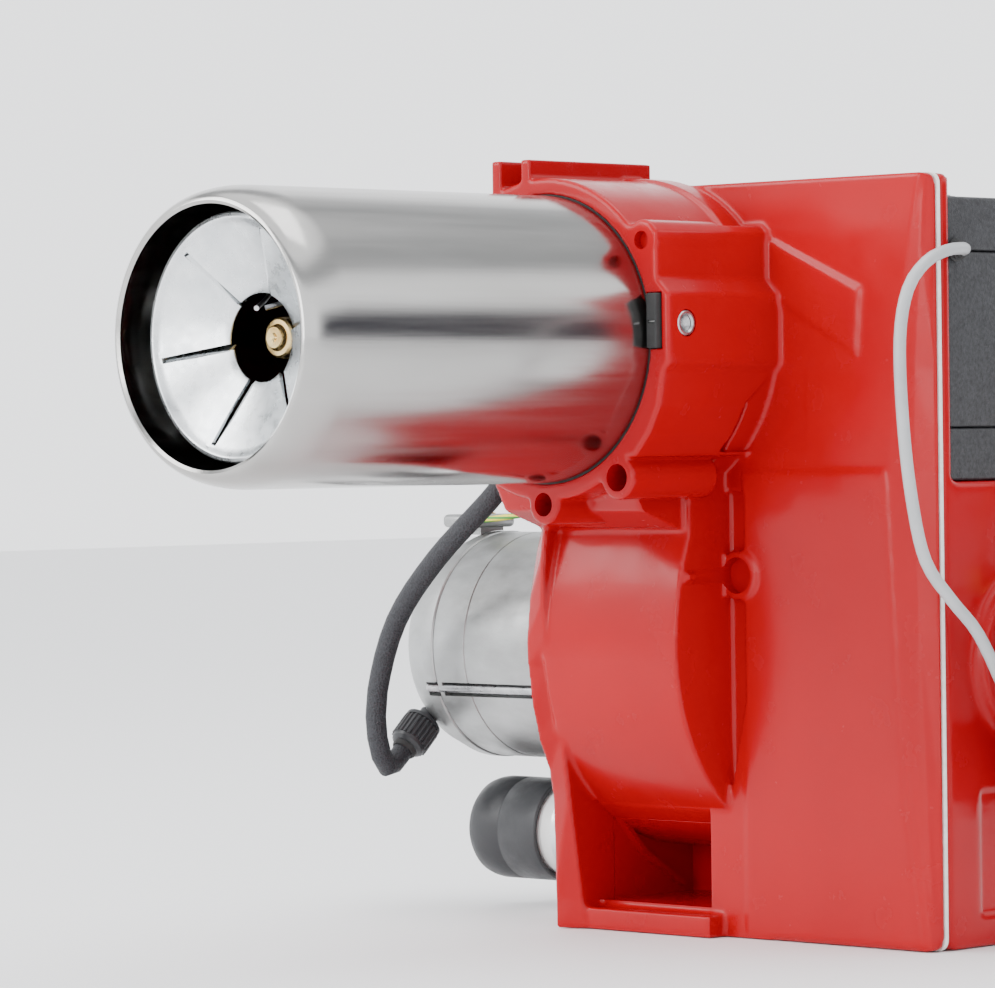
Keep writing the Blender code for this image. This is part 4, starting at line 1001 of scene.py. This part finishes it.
def motor():
    centre = (0, FAN_Y, FAN_Z)
    plate = lathe(
        [
            (0.0125, PLATE_X), (0.0645, PLATE_X), (0.066, PLATE_X + 0.0012), (0.066, LEFT_X - 0.0005),
            (0.0655, LEFT_X - 0.0003), (0.0125, LEFT_X - 0.0003)
        ], "X", centre, 128
    )
    piece("motor_flange", plate, "housing", "cast_aluminium", ["motor_plate"])
    for k, angle in enumerate((150, 30, 270), 1):
        y, z = polar(0.061, angle, (FAN_Y, FAN_Z))
        socket_screw(
            "X", (PLATE_X - 0.0003, y, z), 0.0045, -0.0035, "housing", f"flange_screw_{k}",
            [f"motor_plate_screw_{k}"]
        )
    x0 = PLATE_X - 0.0003
    bell = lathe(
        [
            (0.0115, x0), (0.0486, x0), (MOTOR_RADIUS, x0 - 0.0006), (MOTOR_RADIUS, BELL_X + 0.0008),
            (MOTOR_RADIUS - 0.0006, BELL_X), (0.0455, BELL_X), (0.0455, x0 - 0.004), (0.0115, x0 - 0.004)
        ], "X", centre, 128
    )
    bell = to_object(bell, "motor_front_shield")
    case = to_object(
        lathe(
            [
                (0.0435, CASE_END_X + 0.0003), (0.0484, CASE_END_X + 0.0003),
                (0.0486, CASE_END_X + 0.0008), (0.0486, -0.1225), (0.0482, -0.1222), (0.0482, -0.1216),
                (0.0486, -0.1213), (0.0486, BELL_X - 0.0008), (0.0484, BELL_X - 0.0003),
                (0.0435, BELL_X - 0.0003)
            ], "X", centre, 160
        ), "motor_shell"
    )
    end = MOTOR_END_X
    dome = to_object(
        lathe(
            [
                (0.0, end), (0.0150, end), (0.0160, end + 0.0010), (0.0165, end + 0.0045),
                (0.0180, end + 0.0055), (0.030, end + 0.0078), (0.0370, end + 0.0108),
                (0.0420, end + 0.0148), (0.0452, end + 0.0195), (0.0470, end + 0.0245),
                (0.0476, end + 0.0290), (0.0487, CASE_END_X - 0.0068),
                (MOTOR_RADIUS, CASE_END_X - 0.0060), (MOTOR_RADIUS, CASE_END_X - 0.0006),
                (MOTOR_RADIUS - 0.0006, CASE_END_X), (0.0435, CASE_END_X), (0.0415, end + 0.022),
                (0.030, end + 0.0135), (0.0115, end + 0.0125), (0.0115, end + 0.0045), (0.0, end + 0.0045)
            ], "X", centre, 128
        ), "motor_end_shield"
    )
    grooves, shield_drills, bell_drills = [], [], []
    for k in range(2):
        y, z = polar(0.0472, 201.5 + 180 * k, (FAN_Y, FAN_Z))
        start = CASE_END_X - 0.007
        length = BELL_X + 0.008 - start
        thread = [(0, 0), (0.0018, 0), (0.0020, 0.0004)]
        for turn in range(10):
            thread += [(0.0020, 0.0008 + turn * 0.0007), (0.0017, 0.00115 + turn * 0.0007)]
        thread += [(0.0020, 0.0090), (0.0020, length), (0, length)]
        piece(
            f"motor_tie_rod_{k + 1}", lathe(thread, "X", (start, y, z), 24), "housing", "machined_steel",
            [f"motor_rod_{k + 1}"]
        )
        grooves.append(bar("X", (-0.138, y, z), 0.0034, 0.078, 32))
        shield_drills.append(bar("X", (start - 0.0006, y, z), 0.0036, 0.02, 32))
        bell_drills.append(bar("X", (-0.070, y, z), 0.0026, 0.0125, 24))
    carve(case, grooves)
    carve(bell, bell_drills)
    carve(dome, shield_drills)
    for obj, node in ((bell, "motor_front_bell"), (case, "motor_casing"), (dome, "motor_end_bell")):
        show(obj, "housing", "cast_aluminium", [node], 30)
    fins = []
    for k in range(12):
        fin = brick((end + 0.0062, 0.0195, -0.0007), (end + 0.0105, 0.0330, 0.0007), 0.0004, 2)
        bmesh.ops.translate(fin, vec=(0.0012, FAN_Y, FAN_Z), verts=fin.verts)
        fins.append(spun(fin, math.tau * k / 12, "X", centre))
    piece("motor_end_ribs", gathered(fins), "housing", "cast_aluminium")


def gland():
    """Knurled cap, its neck, and the seal that the cable comes out of."""
    def tip(bm):
        bmesh.ops.rotate(
            bm, cent=(0, 0, 0), matrix=Matrix.Rotation(math.radians(222.8), 3, "X"), verts=bm.verts
        )
        bmesh.ops.translate(bm, vec=(-0.160, FAN_Y, FAN_Z), verts=bm.verts)
        return bm

    knurl = []
    for k in range(96):
        knurl.append(polar(0.0085 if k % 4 in (1, 2) else 0.0079, 360 * k / 96))
    cap = slab(knurl, "Y", 0.0508, 0.0610)
    dome = lathe(
        [(0.0050, 0.0610), (0.0078, 0.0610), (0.0074, 0.0624), (0.0062, 0.0636), (0.0050, 0.0640)], "Y",
        (0, 0, 0), 48
    )
    neck = lathe(
        [
            (0, 0.0435), (0.0042, 0.0435), (0.0042, 0.0485), (0.0083, 0.0487), (0.0083, 0.0504),
            (0, 0.0504)
        ], "Y", (0, 0, 0), 48
    )
    piece("gland_cap", tip(gathered([cap, dome, neck])), "housing", "black_plastic", ["cable_gland"], 25)
    seal = lathe(
        [(0.0046, 0.0606), (0.0055, 0.0606), (0.0055, 0.0652), (0.0050, 0.0660), (0.0046, 0.0660)], "Y",
        (0, 0, 0), 40
    )
    piece("gland_seal", tip(seal), "housing", "rubber")


def earth_terminal():
    tag = to_object(
        gathered([brick((-0.164, 0.106, 0.1626), (-0.142, 0.130, 0.1684), 0.0022, 4)]), "earth_bar"
    )
    carve(tag, [bar("X", (-0.2, FAN_Y, FAN_Z), MOTOR_RADIUS + 0.0003, 0.1, 96)])
    foot = to_object(brick((-0.160, 0.112, 0.1592), (-0.146, 0.126, 0.1632)), "earth_bar_foot")
    carve(foot, [bar("X", (-0.2, FAN_Y, FAN_Z), MOTOR_RADIUS + 0.0002, 0.1, 96)])
    show(tag, "housing", "cast_aluminium", ["earth_tag"])
    show(foot, "housing", "cast_aluminium")
    head = lathe(
        [(0, 0), (0.0035, 0), (0.0035, 0.0014), (0.0026, 0.0023), (0, 0.0025)], "Z",
        (-0.152, 0.121, 0.1684), 32
    )
    screw = to_object(head, "earth_screw")
    carve(
        screw,
        [
            brick((-0.1560, 0.1205, 0.1698), (-0.1480, 0.1215, 0.1720)),
            brick((-0.1525, 0.117, 0.1698), (-0.1515, 0.125, 0.1720))
        ]
    )
    show(screw, "housing", "machined_steel")
    ring = sleeve("Z", (-0.152, 0.121, 0.16835), 0.0022, 0.0046, 0.0006, 32, 0.0001)
    piece("earth_ring_lug", ring, "housing", "brass")


def capacitor():
    can = [
        (0, -0.140), (0.0190, -0.140), (0.0190, -0.1024), (0.0194, -0.1018), (0.0200, -0.1008),
        (0.0200, -0.0604), (0.0196, -0.0590), (0.0184, -0.0582), (0.0176, -0.0584), (0.0170, -0.0590),
        (0, -0.0590)
    ]
    piece(
        "capacitor_can", lathe(can, "X", (0, CAP_Y, CAP_Z), 96), "housing", "white_plastic",
        ["capacitor_body"]
    )
    boot = [
        (0, -0.146), (0.0140, -0.146), (0.0168, -0.1456), (0.0192, -0.1444), (0.0208, -0.1424),
        (0.0216, -0.1398), (0.0220, -0.1370), (0.0220, -0.1262), (0.0217, -0.1256), (0.0217, -0.1248),
        (0.0220, -0.1242), (0.0220, -0.1036), (0.0216, -0.1030), (0.0204, -0.1030), (0.0201, -0.1040),
        (0.0193, -0.1050), (0.0193, -0.1403), (0, -0.1403)
    ]
    piece(
        "capacitor_cap", lathe(boot, "X", (0, CAP_Y, CAP_Z), 96), "housing", "black_plastic",
        ["capacitor_boot"]
    )
    band = sleeve("X", (-0.094, CAP_Y, CAP_Z), 0.0202, 0.0218, 0.016, 96, 0.0003)
    post = to_object(
        brick((-0.092, 0.112, CAP_Z + 0.0212), (-0.080, 0.132, 0.0655), 0.0006), "capacitor_post"
    )
    carve(post, [bar("X", (-0.12, FAN_Y, FAN_Z), MOTOR_RADIUS + 0.0003, 0.08, 96)])
    show(post, "housing", "zinc_plate")
    piece("capacitor_band", band, "housing", "zinc_plate", ["capacitor_clip"])


# ---------------------------------------------------------------- pump, pipe ends and damper

def pump():
    half = 0.026
    face, back, nose = 0.1493, 0.188, 0.200
    grain = 0.0008
    y0, y1, z0, z1 = FAN_Y - half, FAN_Y + half, FAN_Z - half, FAN_Z + half
    solids = [
        brick((face, y0, z0), (back - 0.0045, y1, z1), 0.0035, 3),
        brick((back - 0.0055, y0 + 0.0012, z0 + 0.0012), (back, y1 - 0.0012, z1 - 0.0012), 0.0012, 2),
        bar("X", (back - 0.002, FAN_Y, FAN_Z), 0.018, 0.0125, 96, 0.0015),
        bar("X", (back - 0.002, FAN_Y, FAN_Z), 0.0110, 0.014, 64),
        bar("Z", (0.165, FAN_Y, z1 - 0.004), 0.0095, 0.0040, 48),
        bar("Y", (0.168, y0 - 0.0002, FAN_Z + 0.012), 0.0085, 0.006, 48),
        bar("Y", (0.168, y1 - 0.006, FAN_Z - 0.006), 0.0085, 0.0062, 48),
    ]
    hollows = [
        bar("X", (face - 0.01, FAN_Y, FAN_Z), 0.0047, 0.042, 32),
        brick((back - 0.0050, y0 - 0.01, z0 - 0.01), (back - 0.0042, y0 + 0.0008, z1 + 0.01))
    ]
    cast = cast_shape(
        "pump_body", solids, hollows,
        [bar("X", (back - 0.001, y1 - 0.0045, z1 - 0.0045), 0.0040, 0.0012, 32)], grain, 2, 0.5
    )
    show(cast, "housing", "cast_aluminium", ["oil_pump"], 45)
    for k, (y, z) in enumerate(((0.1035, 0.1335), (0.1465, 0.0905)), 1):
        socket_screw(
            "X", (back + 0.0003, y, z), 0.0030, 0.0030, "housing", f"pump_cover_screw_{k}",
            [f"pump_screw_{k}"]
        )
    slotted = to_object(bar("X", (nose - 0.0006, FAN_Y, FAN_Z), 0.0062, 0.0006, 40), "pressure_adjuster")
    carve(
        slotted,
        [
            brick(
                (nose - 0.0003, FAN_Y - 0.0006, FAN_Z - 0.007),
                (nose + 0.002, FAN_Y + 0.0006, FAN_Z + 0.007)
            )
        ]
    )
    show(slotted, "housing", "brass")
    for k, (y, z, side) in enumerate(
        ((y0 - 0.0002, FAN_Z + 0.012, -1), (y1 + 0.0002, FAN_Z - 0.006, 1)), 1
    ):
        hex_head("Y", (0.168, y, z), 0.0058, side * 0.0040, "housing", f"pump_port_plug_{k}")
    nut = lathe(
        [(0.0024, 0.0016), (0.0060, 0.0016), (0.0060, 0.0085), (0.0052, 0.0093), (0.0024, 0.0093)], "Z",
        (0.165, FAN_Y, z1 + 0.0003), 6
    )
    collar = lathe(
        [(0.0024, 0), (0.0066, 0), (0.0066, 0.0014), (0.0024, 0.0014)], "Z", (0.165, FAN_Y, z1 + 0.0003),
        32
    )
    piece("pipe_union_nut", gathered([nut, collar]), "housing", "brass", ["pressure_union"])
    coil = brick((0.153, 0.108, 0.054), (0.184, 0.140, 0.0855), 0.0028, 4)
    yoke = brick((0.1580, 0.1078, 0.0560), (0.1790, 0.1402, 0.0838), 0.0008, 2)
    piece("solenoid_coil", gathered([coil, yoke]), "housing", "black_plastic", ["valve_coil"])
    piece(
        "coil_end_nut",
        lathe(
            [(0, 0), (0.0058, 0), (0.0065, 0.0008), (0.0065, 0.0060), (0, 0.0060)], "Z",
            (0.1685, 0.124, 0.0477), 6
        ), "housing", "machined_steel", ["coil_nut"]
    )


def damper_gear():
    arm = slab(
        rounded([(0.1820, 0.0580), (0.1940, 0.0580), (0.1940, 0.1000), (0.1820, 0.1000)], 0.0058, 8), "X",
        0.1462, 0.1478
    )
    obj = to_object(arm, "air_setting_lever")
    carve(obj, [bar("X", (0.140, DAMPER_Y, DAMPER_Z), 0.0033, 0.02, 32)])
    show(obj, "air_damper", "zinc_plate", ["damper_lever"])
    ridges = [polar(0.0045 if k % 2 else 0.0041, 360 * k / 32, (DAMPER_Y, 0.064)) for k in range(32)]
    knob = slab(ridges, "X", 0.1481, 0.1568)
    piece("air_setting_knob", knob, "air_damper", "black_plastic", sharp=30)
    stem = bar("X", (0.1470, DAMPER_Y, 0.064), 0.0020, 0.0100, 20)
    piece("air_setting_stud", stem, "air_damper", "machined_steel")
    shaft = to_object(bar("X", (0.045, DAMPER_Y, DAMPER_Z), 0.0030, 0.107, 40, 0.0004), "damper_spindle")
    carve(
        shaft,
        [
            brick(
                (0.1508, DAMPER_Y - 0.0004, DAMPER_Z - 0.004),
                (0.1530, DAMPER_Y + 0.0004, DAMPER_Z + 0.004)
            )
        ]
    )
    show(shaft, "air_damper", "machined_steel", ["damper_shaft"])
    flap = brick((0.053, 0.1920, 0.0210), (0.127, 0.1935, 0.0950), 0.0003, 1)
    beads = [
        brick((x - 0.002, 0.1914, 0.034), (x + 0.002, 0.1922, 0.082), 0.0003, 1) for x in (0.074, 0.106)
    ]
    roll = sleeve("X", (0.053, DAMPER_Y, DAMPER_Z), 0.0033, 0.0052, 0.074, 40)
    piece("damper_blade", gathered([flap, roll, *beads]), "air_damper", "zinc_plate", ["damper_flap"])


# ---------------------------------------------------------------- electrical housing

def shell(name, z0, z1, node, ends):
    """A moulded ring or cap with a wall, drawn edges and open ends where it meets its neighbours."""
    outer = brick((BOX_LEFT_X, HOUSING_Y + 0.0003, z0), (BOX_RIGHT_X, REAR_Y, z1), 0.0016, 4)
    obj = to_object(outer, name)
    wall = 0.0025
    low, high = ends
    inner = brick((BOX_LEFT_X + wall, HOUSING_Y + 0.0003 + wall, z0 + (wall if low else -0.01)),
                  (BOX_RIGHT_X - wall, REAR_Y - wall, z1 - (wall if high else -0.01)))
    cuts = [inner]
    if node == "control_cover":
        cuts += [
            bar("Y", (0, 0.075, TUBE_Z), 0.018, 0.010, 32),
            bar("Y", (-0.035, 0.075, 0.218), 0.0085, 0.010, 24),
            bar("Y", (0.090, REAR_Y - 0.010, 0.226), 0.0088, 0.020, 48),
            bar("X", (0.135, 0.1400, 0.2325), 0.0065, 0.010, 32),
        ]
        cuts += [
            brick(
                (-0.045 + 0.008 * k, REAR_Y - 0.0008, 0.212), (-0.042 + 0.008 * k, REAR_Y + 0.002, 0.260)
            ) for k in range(8)
        ]
    carve(obj, cuts)
    show(obj, "housing", "cover_plastic", [node], 30)


def electrical_housing():
    shell("control_base_tray", 0.1823, 0.2028, "control_tray", (True, False))
    shell("control_middle_cover", 0.2031, 0.2717, "control_cover", (False, False))
    shell("control_top_lid", 0.2720, 0.2930, "control_lid", (False, True))
    for k, (x, y) in enumerate(((-0.050, 0.090), (0.131, 0.090), (-0.050, 0.188), (0.131, 0.188)), 1):
        socket_screw("Z", (x, y, 0.2928), 0.0034, 0.0012, "housing", f"lid_screw_{k}")
    panel = [
        sleeve("Z", (x, y, 0.2926), 0.0036, 0.0052, 0.0008, 32, 0.0002)
        for x, y in ((-0.050, 0.090), (0.131, 0.090), (-0.050, 0.188), (0.131, 0.188))
    ]
    rim = brick((-0.030, 0.104, 0.2926), (0.111, 0.174, 0.2936), 0.0005, 2)
    piece("lid_raised_panel", gathered([*panel, rim]), "housing", "cover_plastic")
    bezel = sleeve("Y", (BUTTON.x, REAR_Y - 0.0006, BUTTON.z), 0.0089, 0.0125, 0.0016, 64, 0.0005)
    piece("reset_bezel", bezel, "housing", "black_plastic")
    button = [
        (0, -0.0105), (0.0055, -0.0105), (0.0055, -0.006), (0.0082, -0.006), (0.0082, 0.0018),
        (0.0080, 0.0026), (0.0074, 0.0032), (0.0064, 0.0035), (0.0050, 0.0033), (0, 0.0028)
    ]
    piece("reset_push_button", lathe(button, "Y", BUTTON, 64), "reset", "red_plastic", ["reset_button"])
    profile = [
        (0.0046, -0.0056), (0.0046, 0.0), (0.0080, 0.0), (0.0080, -0.0016), (0.0068, -0.0019),
        (0.0068, -0.0024), (0.0074, -0.0026), (0.0074, -0.0036), (0.0060, -0.0039), (0.0060, -0.0043),
        (0.0066, -0.0045), (0.0064, -0.0054), (0.0054, -0.0058)
    ]
    piece(
        "motor_cable_relief", lathe(profile, "X", (BOX_LEFT_X - 0.0003, 0.120, 0.225), 48), "housing",
        "rubber", ["cable_grommet"]
    )
    lead = [
        (0.0024, 0.0), (0.0046, 0.0), (0.0046, 0.0008), (0.0038, 0.0012), (0.0040, 0.0022),
        (0.0033, 0.0026), (0.0035, 0.0036), (0.0030, 0.0046), (0.0024, 0.0046)
    ]
    piece(
        "coil_lead_relief", lathe(lead, "X", (BOX_RIGHT_X + 0.0001, 0.0850, 0.2720), 40), "housing",
        "rubber"
    )
    end = [(r, -h) for r, h in lead]
    piece("coil_lead_boot", lathe(end, "Y", (0.1685, 0.1079, 0.0700), 40), "housing", "rubber")
    ring = sleeve("X", (BOX_RIGHT_X - 0.0012, 0.1400, 0.2325), 0.0030, 0.0072, 0.0022, 40, 0.0004)
    piece("pipe_grommet", ring, "housing", "rubber")


# ---------------------------------------------------------------- stage

def floor():
    """Plain pale ground under the burner."""
    bm = bmesh.new()
    bmesh.ops.create_grid(bm, x_segments=1, y_segments=1, size=6)
    bmesh.ops.translate(bm, vec=(0, 0, -0.0004), verts=bm.verts)
    mesh = bpy.data.meshes.new("pale_floor")
    bm.to_mesh(mesh)
    bm.free()
    obj = bpy.data.objects.new("pale_floor", mesh)
    bpy.context.collection.objects.link(obj)
    mesh.materials.append(Recipe("floor_white", (0.93, 0.93, 0.935), 0.6).material)


def lamp(name, place, aim, size, power, colour=(1, 1, 1)):
    light = bpy.data.lights.new(name, "AREA")
    light.shape = "RECTANGLE"
    light.size, light.size_y = size
    light.energy = power
    light.color = colour
    obj = bpy.data.objects.new(name, light)
    obj.location = place
    obj.rotation_euler = (Vector(aim) - Vector(place)).to_track_quat("-Z", "Y").to_euler()
    bpy.context.collection.objects.link(obj)


def lights():
    """White room with a dark side to the right and behind, and a greyer band high up."""
    world = bpy.data.worlds.new("studio")
    world.use_nodes = True
    tree = world.node_tree
    background = tree.nodes["Background"]
    background.inputs["Strength"].default_value = 2.4

    def node(kind, **settings):
        made = tree.nodes.new(kind)
        for key, value in settings.items():
            setattr(made, key, value)
        return made

    def ramp(source, low, high, first, last):
        made = node("ShaderNodeMapRange", interpolation_type="SMOOTHSTEP")
        for key, value in zip(("From Min", "From Max", "To Min", "To Max"), (low, high, first, last)):
            made.inputs[key].default_value = value
        tree.links.new(source, made.inputs["Value"])
        return made.outputs["Result"]

    def product(a, b):
        made = node("ShaderNodeMath", operation="MULTIPLY")
        tree.links.new(a, made.inputs[0])
        tree.links.new(b, made.inputs[1])
        return made.outputs["Value"]

    def mixed(factor, base, shade):
        made = node("ShaderNodeMix", data_type="RGBA")
        tree.links.new(factor, made.inputs["Factor"])
        if isinstance(base, tuple):
            made.inputs[6].default_value = base
        else:
            tree.links.new(base, made.inputs[6])
        made.inputs[7].default_value = shade
        return made.outputs[2]

    direction = node("ShaderNodeTexCoord").outputs["Generated"]
    towards = node("ShaderNodeVectorMath", operation="DOT_PRODUCT")
    towards.inputs[1].default_value = (0.76, 0.65, 0)
    tree.links.new(direction, towards.inputs[0])
    split = node("ShaderNodeSeparateXYZ")
    tree.links.new(direction, split.inputs["Vector"])
    side = ramp(towards.outputs["Value"], 0.72, 0.95, 0, 1)
    low_down = ramp(split.outputs["Z"], 0.16, 0.36, 1, 0)
    room = mixed(product(side, low_down), (0.94, 0.95, 0.97, 1), (0.05, 0.05, 0.06, 1))
    band = product(ramp(split.outputs["Z"], 0.50, 0.60, 0, 1), ramp(split.outputs["Z"], 0.70, 0.80, 1, 0))
    room = mixed(band, room, (0.34, 0.35, 0.36, 1))
    tree.links.new(room, background.inputs["Color"])
    bpy.context.scene.world = world
    lamp("key", (-1.1, -1.5, 1.3), (0, 0, 0.15), (1.2, 1.2), 30)
    lamp("front", (0.15, -1.9, 0.55), (0, -0.1, 0.2), (0.7, 0.7), 9)
    lamp("top", (0.1, 0.3, 1.9), (0, 0, 0.1), (1.2, 0.8), 10)


def camera():
    """Long lens from the front right, almost level, with the sight line passing just below the tube."""
    azimuth, elevation, roll, distance = math.radians(44.32), math.radians(0.62), math.radians(-0.74), 1.985
    aim = ZERO + Vector((-0.0130, -0.0136, 0.1790))
    back = Vector(
        (
            math.sin(azimuth) * math.cos(elevation), -math.cos(azimuth) * math.cos(elevation),
            math.sin(elevation)
        )
    )
    right = Vector((math.cos(azimuth), math.sin(azimuth), 0))
    up = back.cross(right)
    across = right * math.cos(roll) + up * math.sin(roll)
    upward = up * math.cos(roll) - right * math.sin(roll)
    data = bpy.data.cameras.new("camera")
    data.sensor_width = 36
    data.lens = 181.1
    data.clip_end = 50
    obj = bpy.data.objects.new("camera", data)
    turn = Matrix((across, upward, back)).transposed().to_4x4()
    obj.matrix_world = Matrix.Translation(aim + back * distance) @ turn
    bpy.context.collection.objects.link(obj)
    bpy.context.scene.camera = obj


front_casting()
rear_casting()
casting_gasket()
blast_tube()
tube_fittings()
flame_disc()
head_bracket()
nozzle()
electrodes()
motor()
gland()
earth_terminal()
capacitor()
pump()
damper_gear()
electrical_housing()
cables()
for node in frame["nodes"].values():
    slot = next(s["material_slot"] for s in frame["record"]["subparts"] if s["node"] == node.name)
    node.data.materials.clear()
    node.data.materials.append(FINISHES[slot])
floor()
lights()
camera()
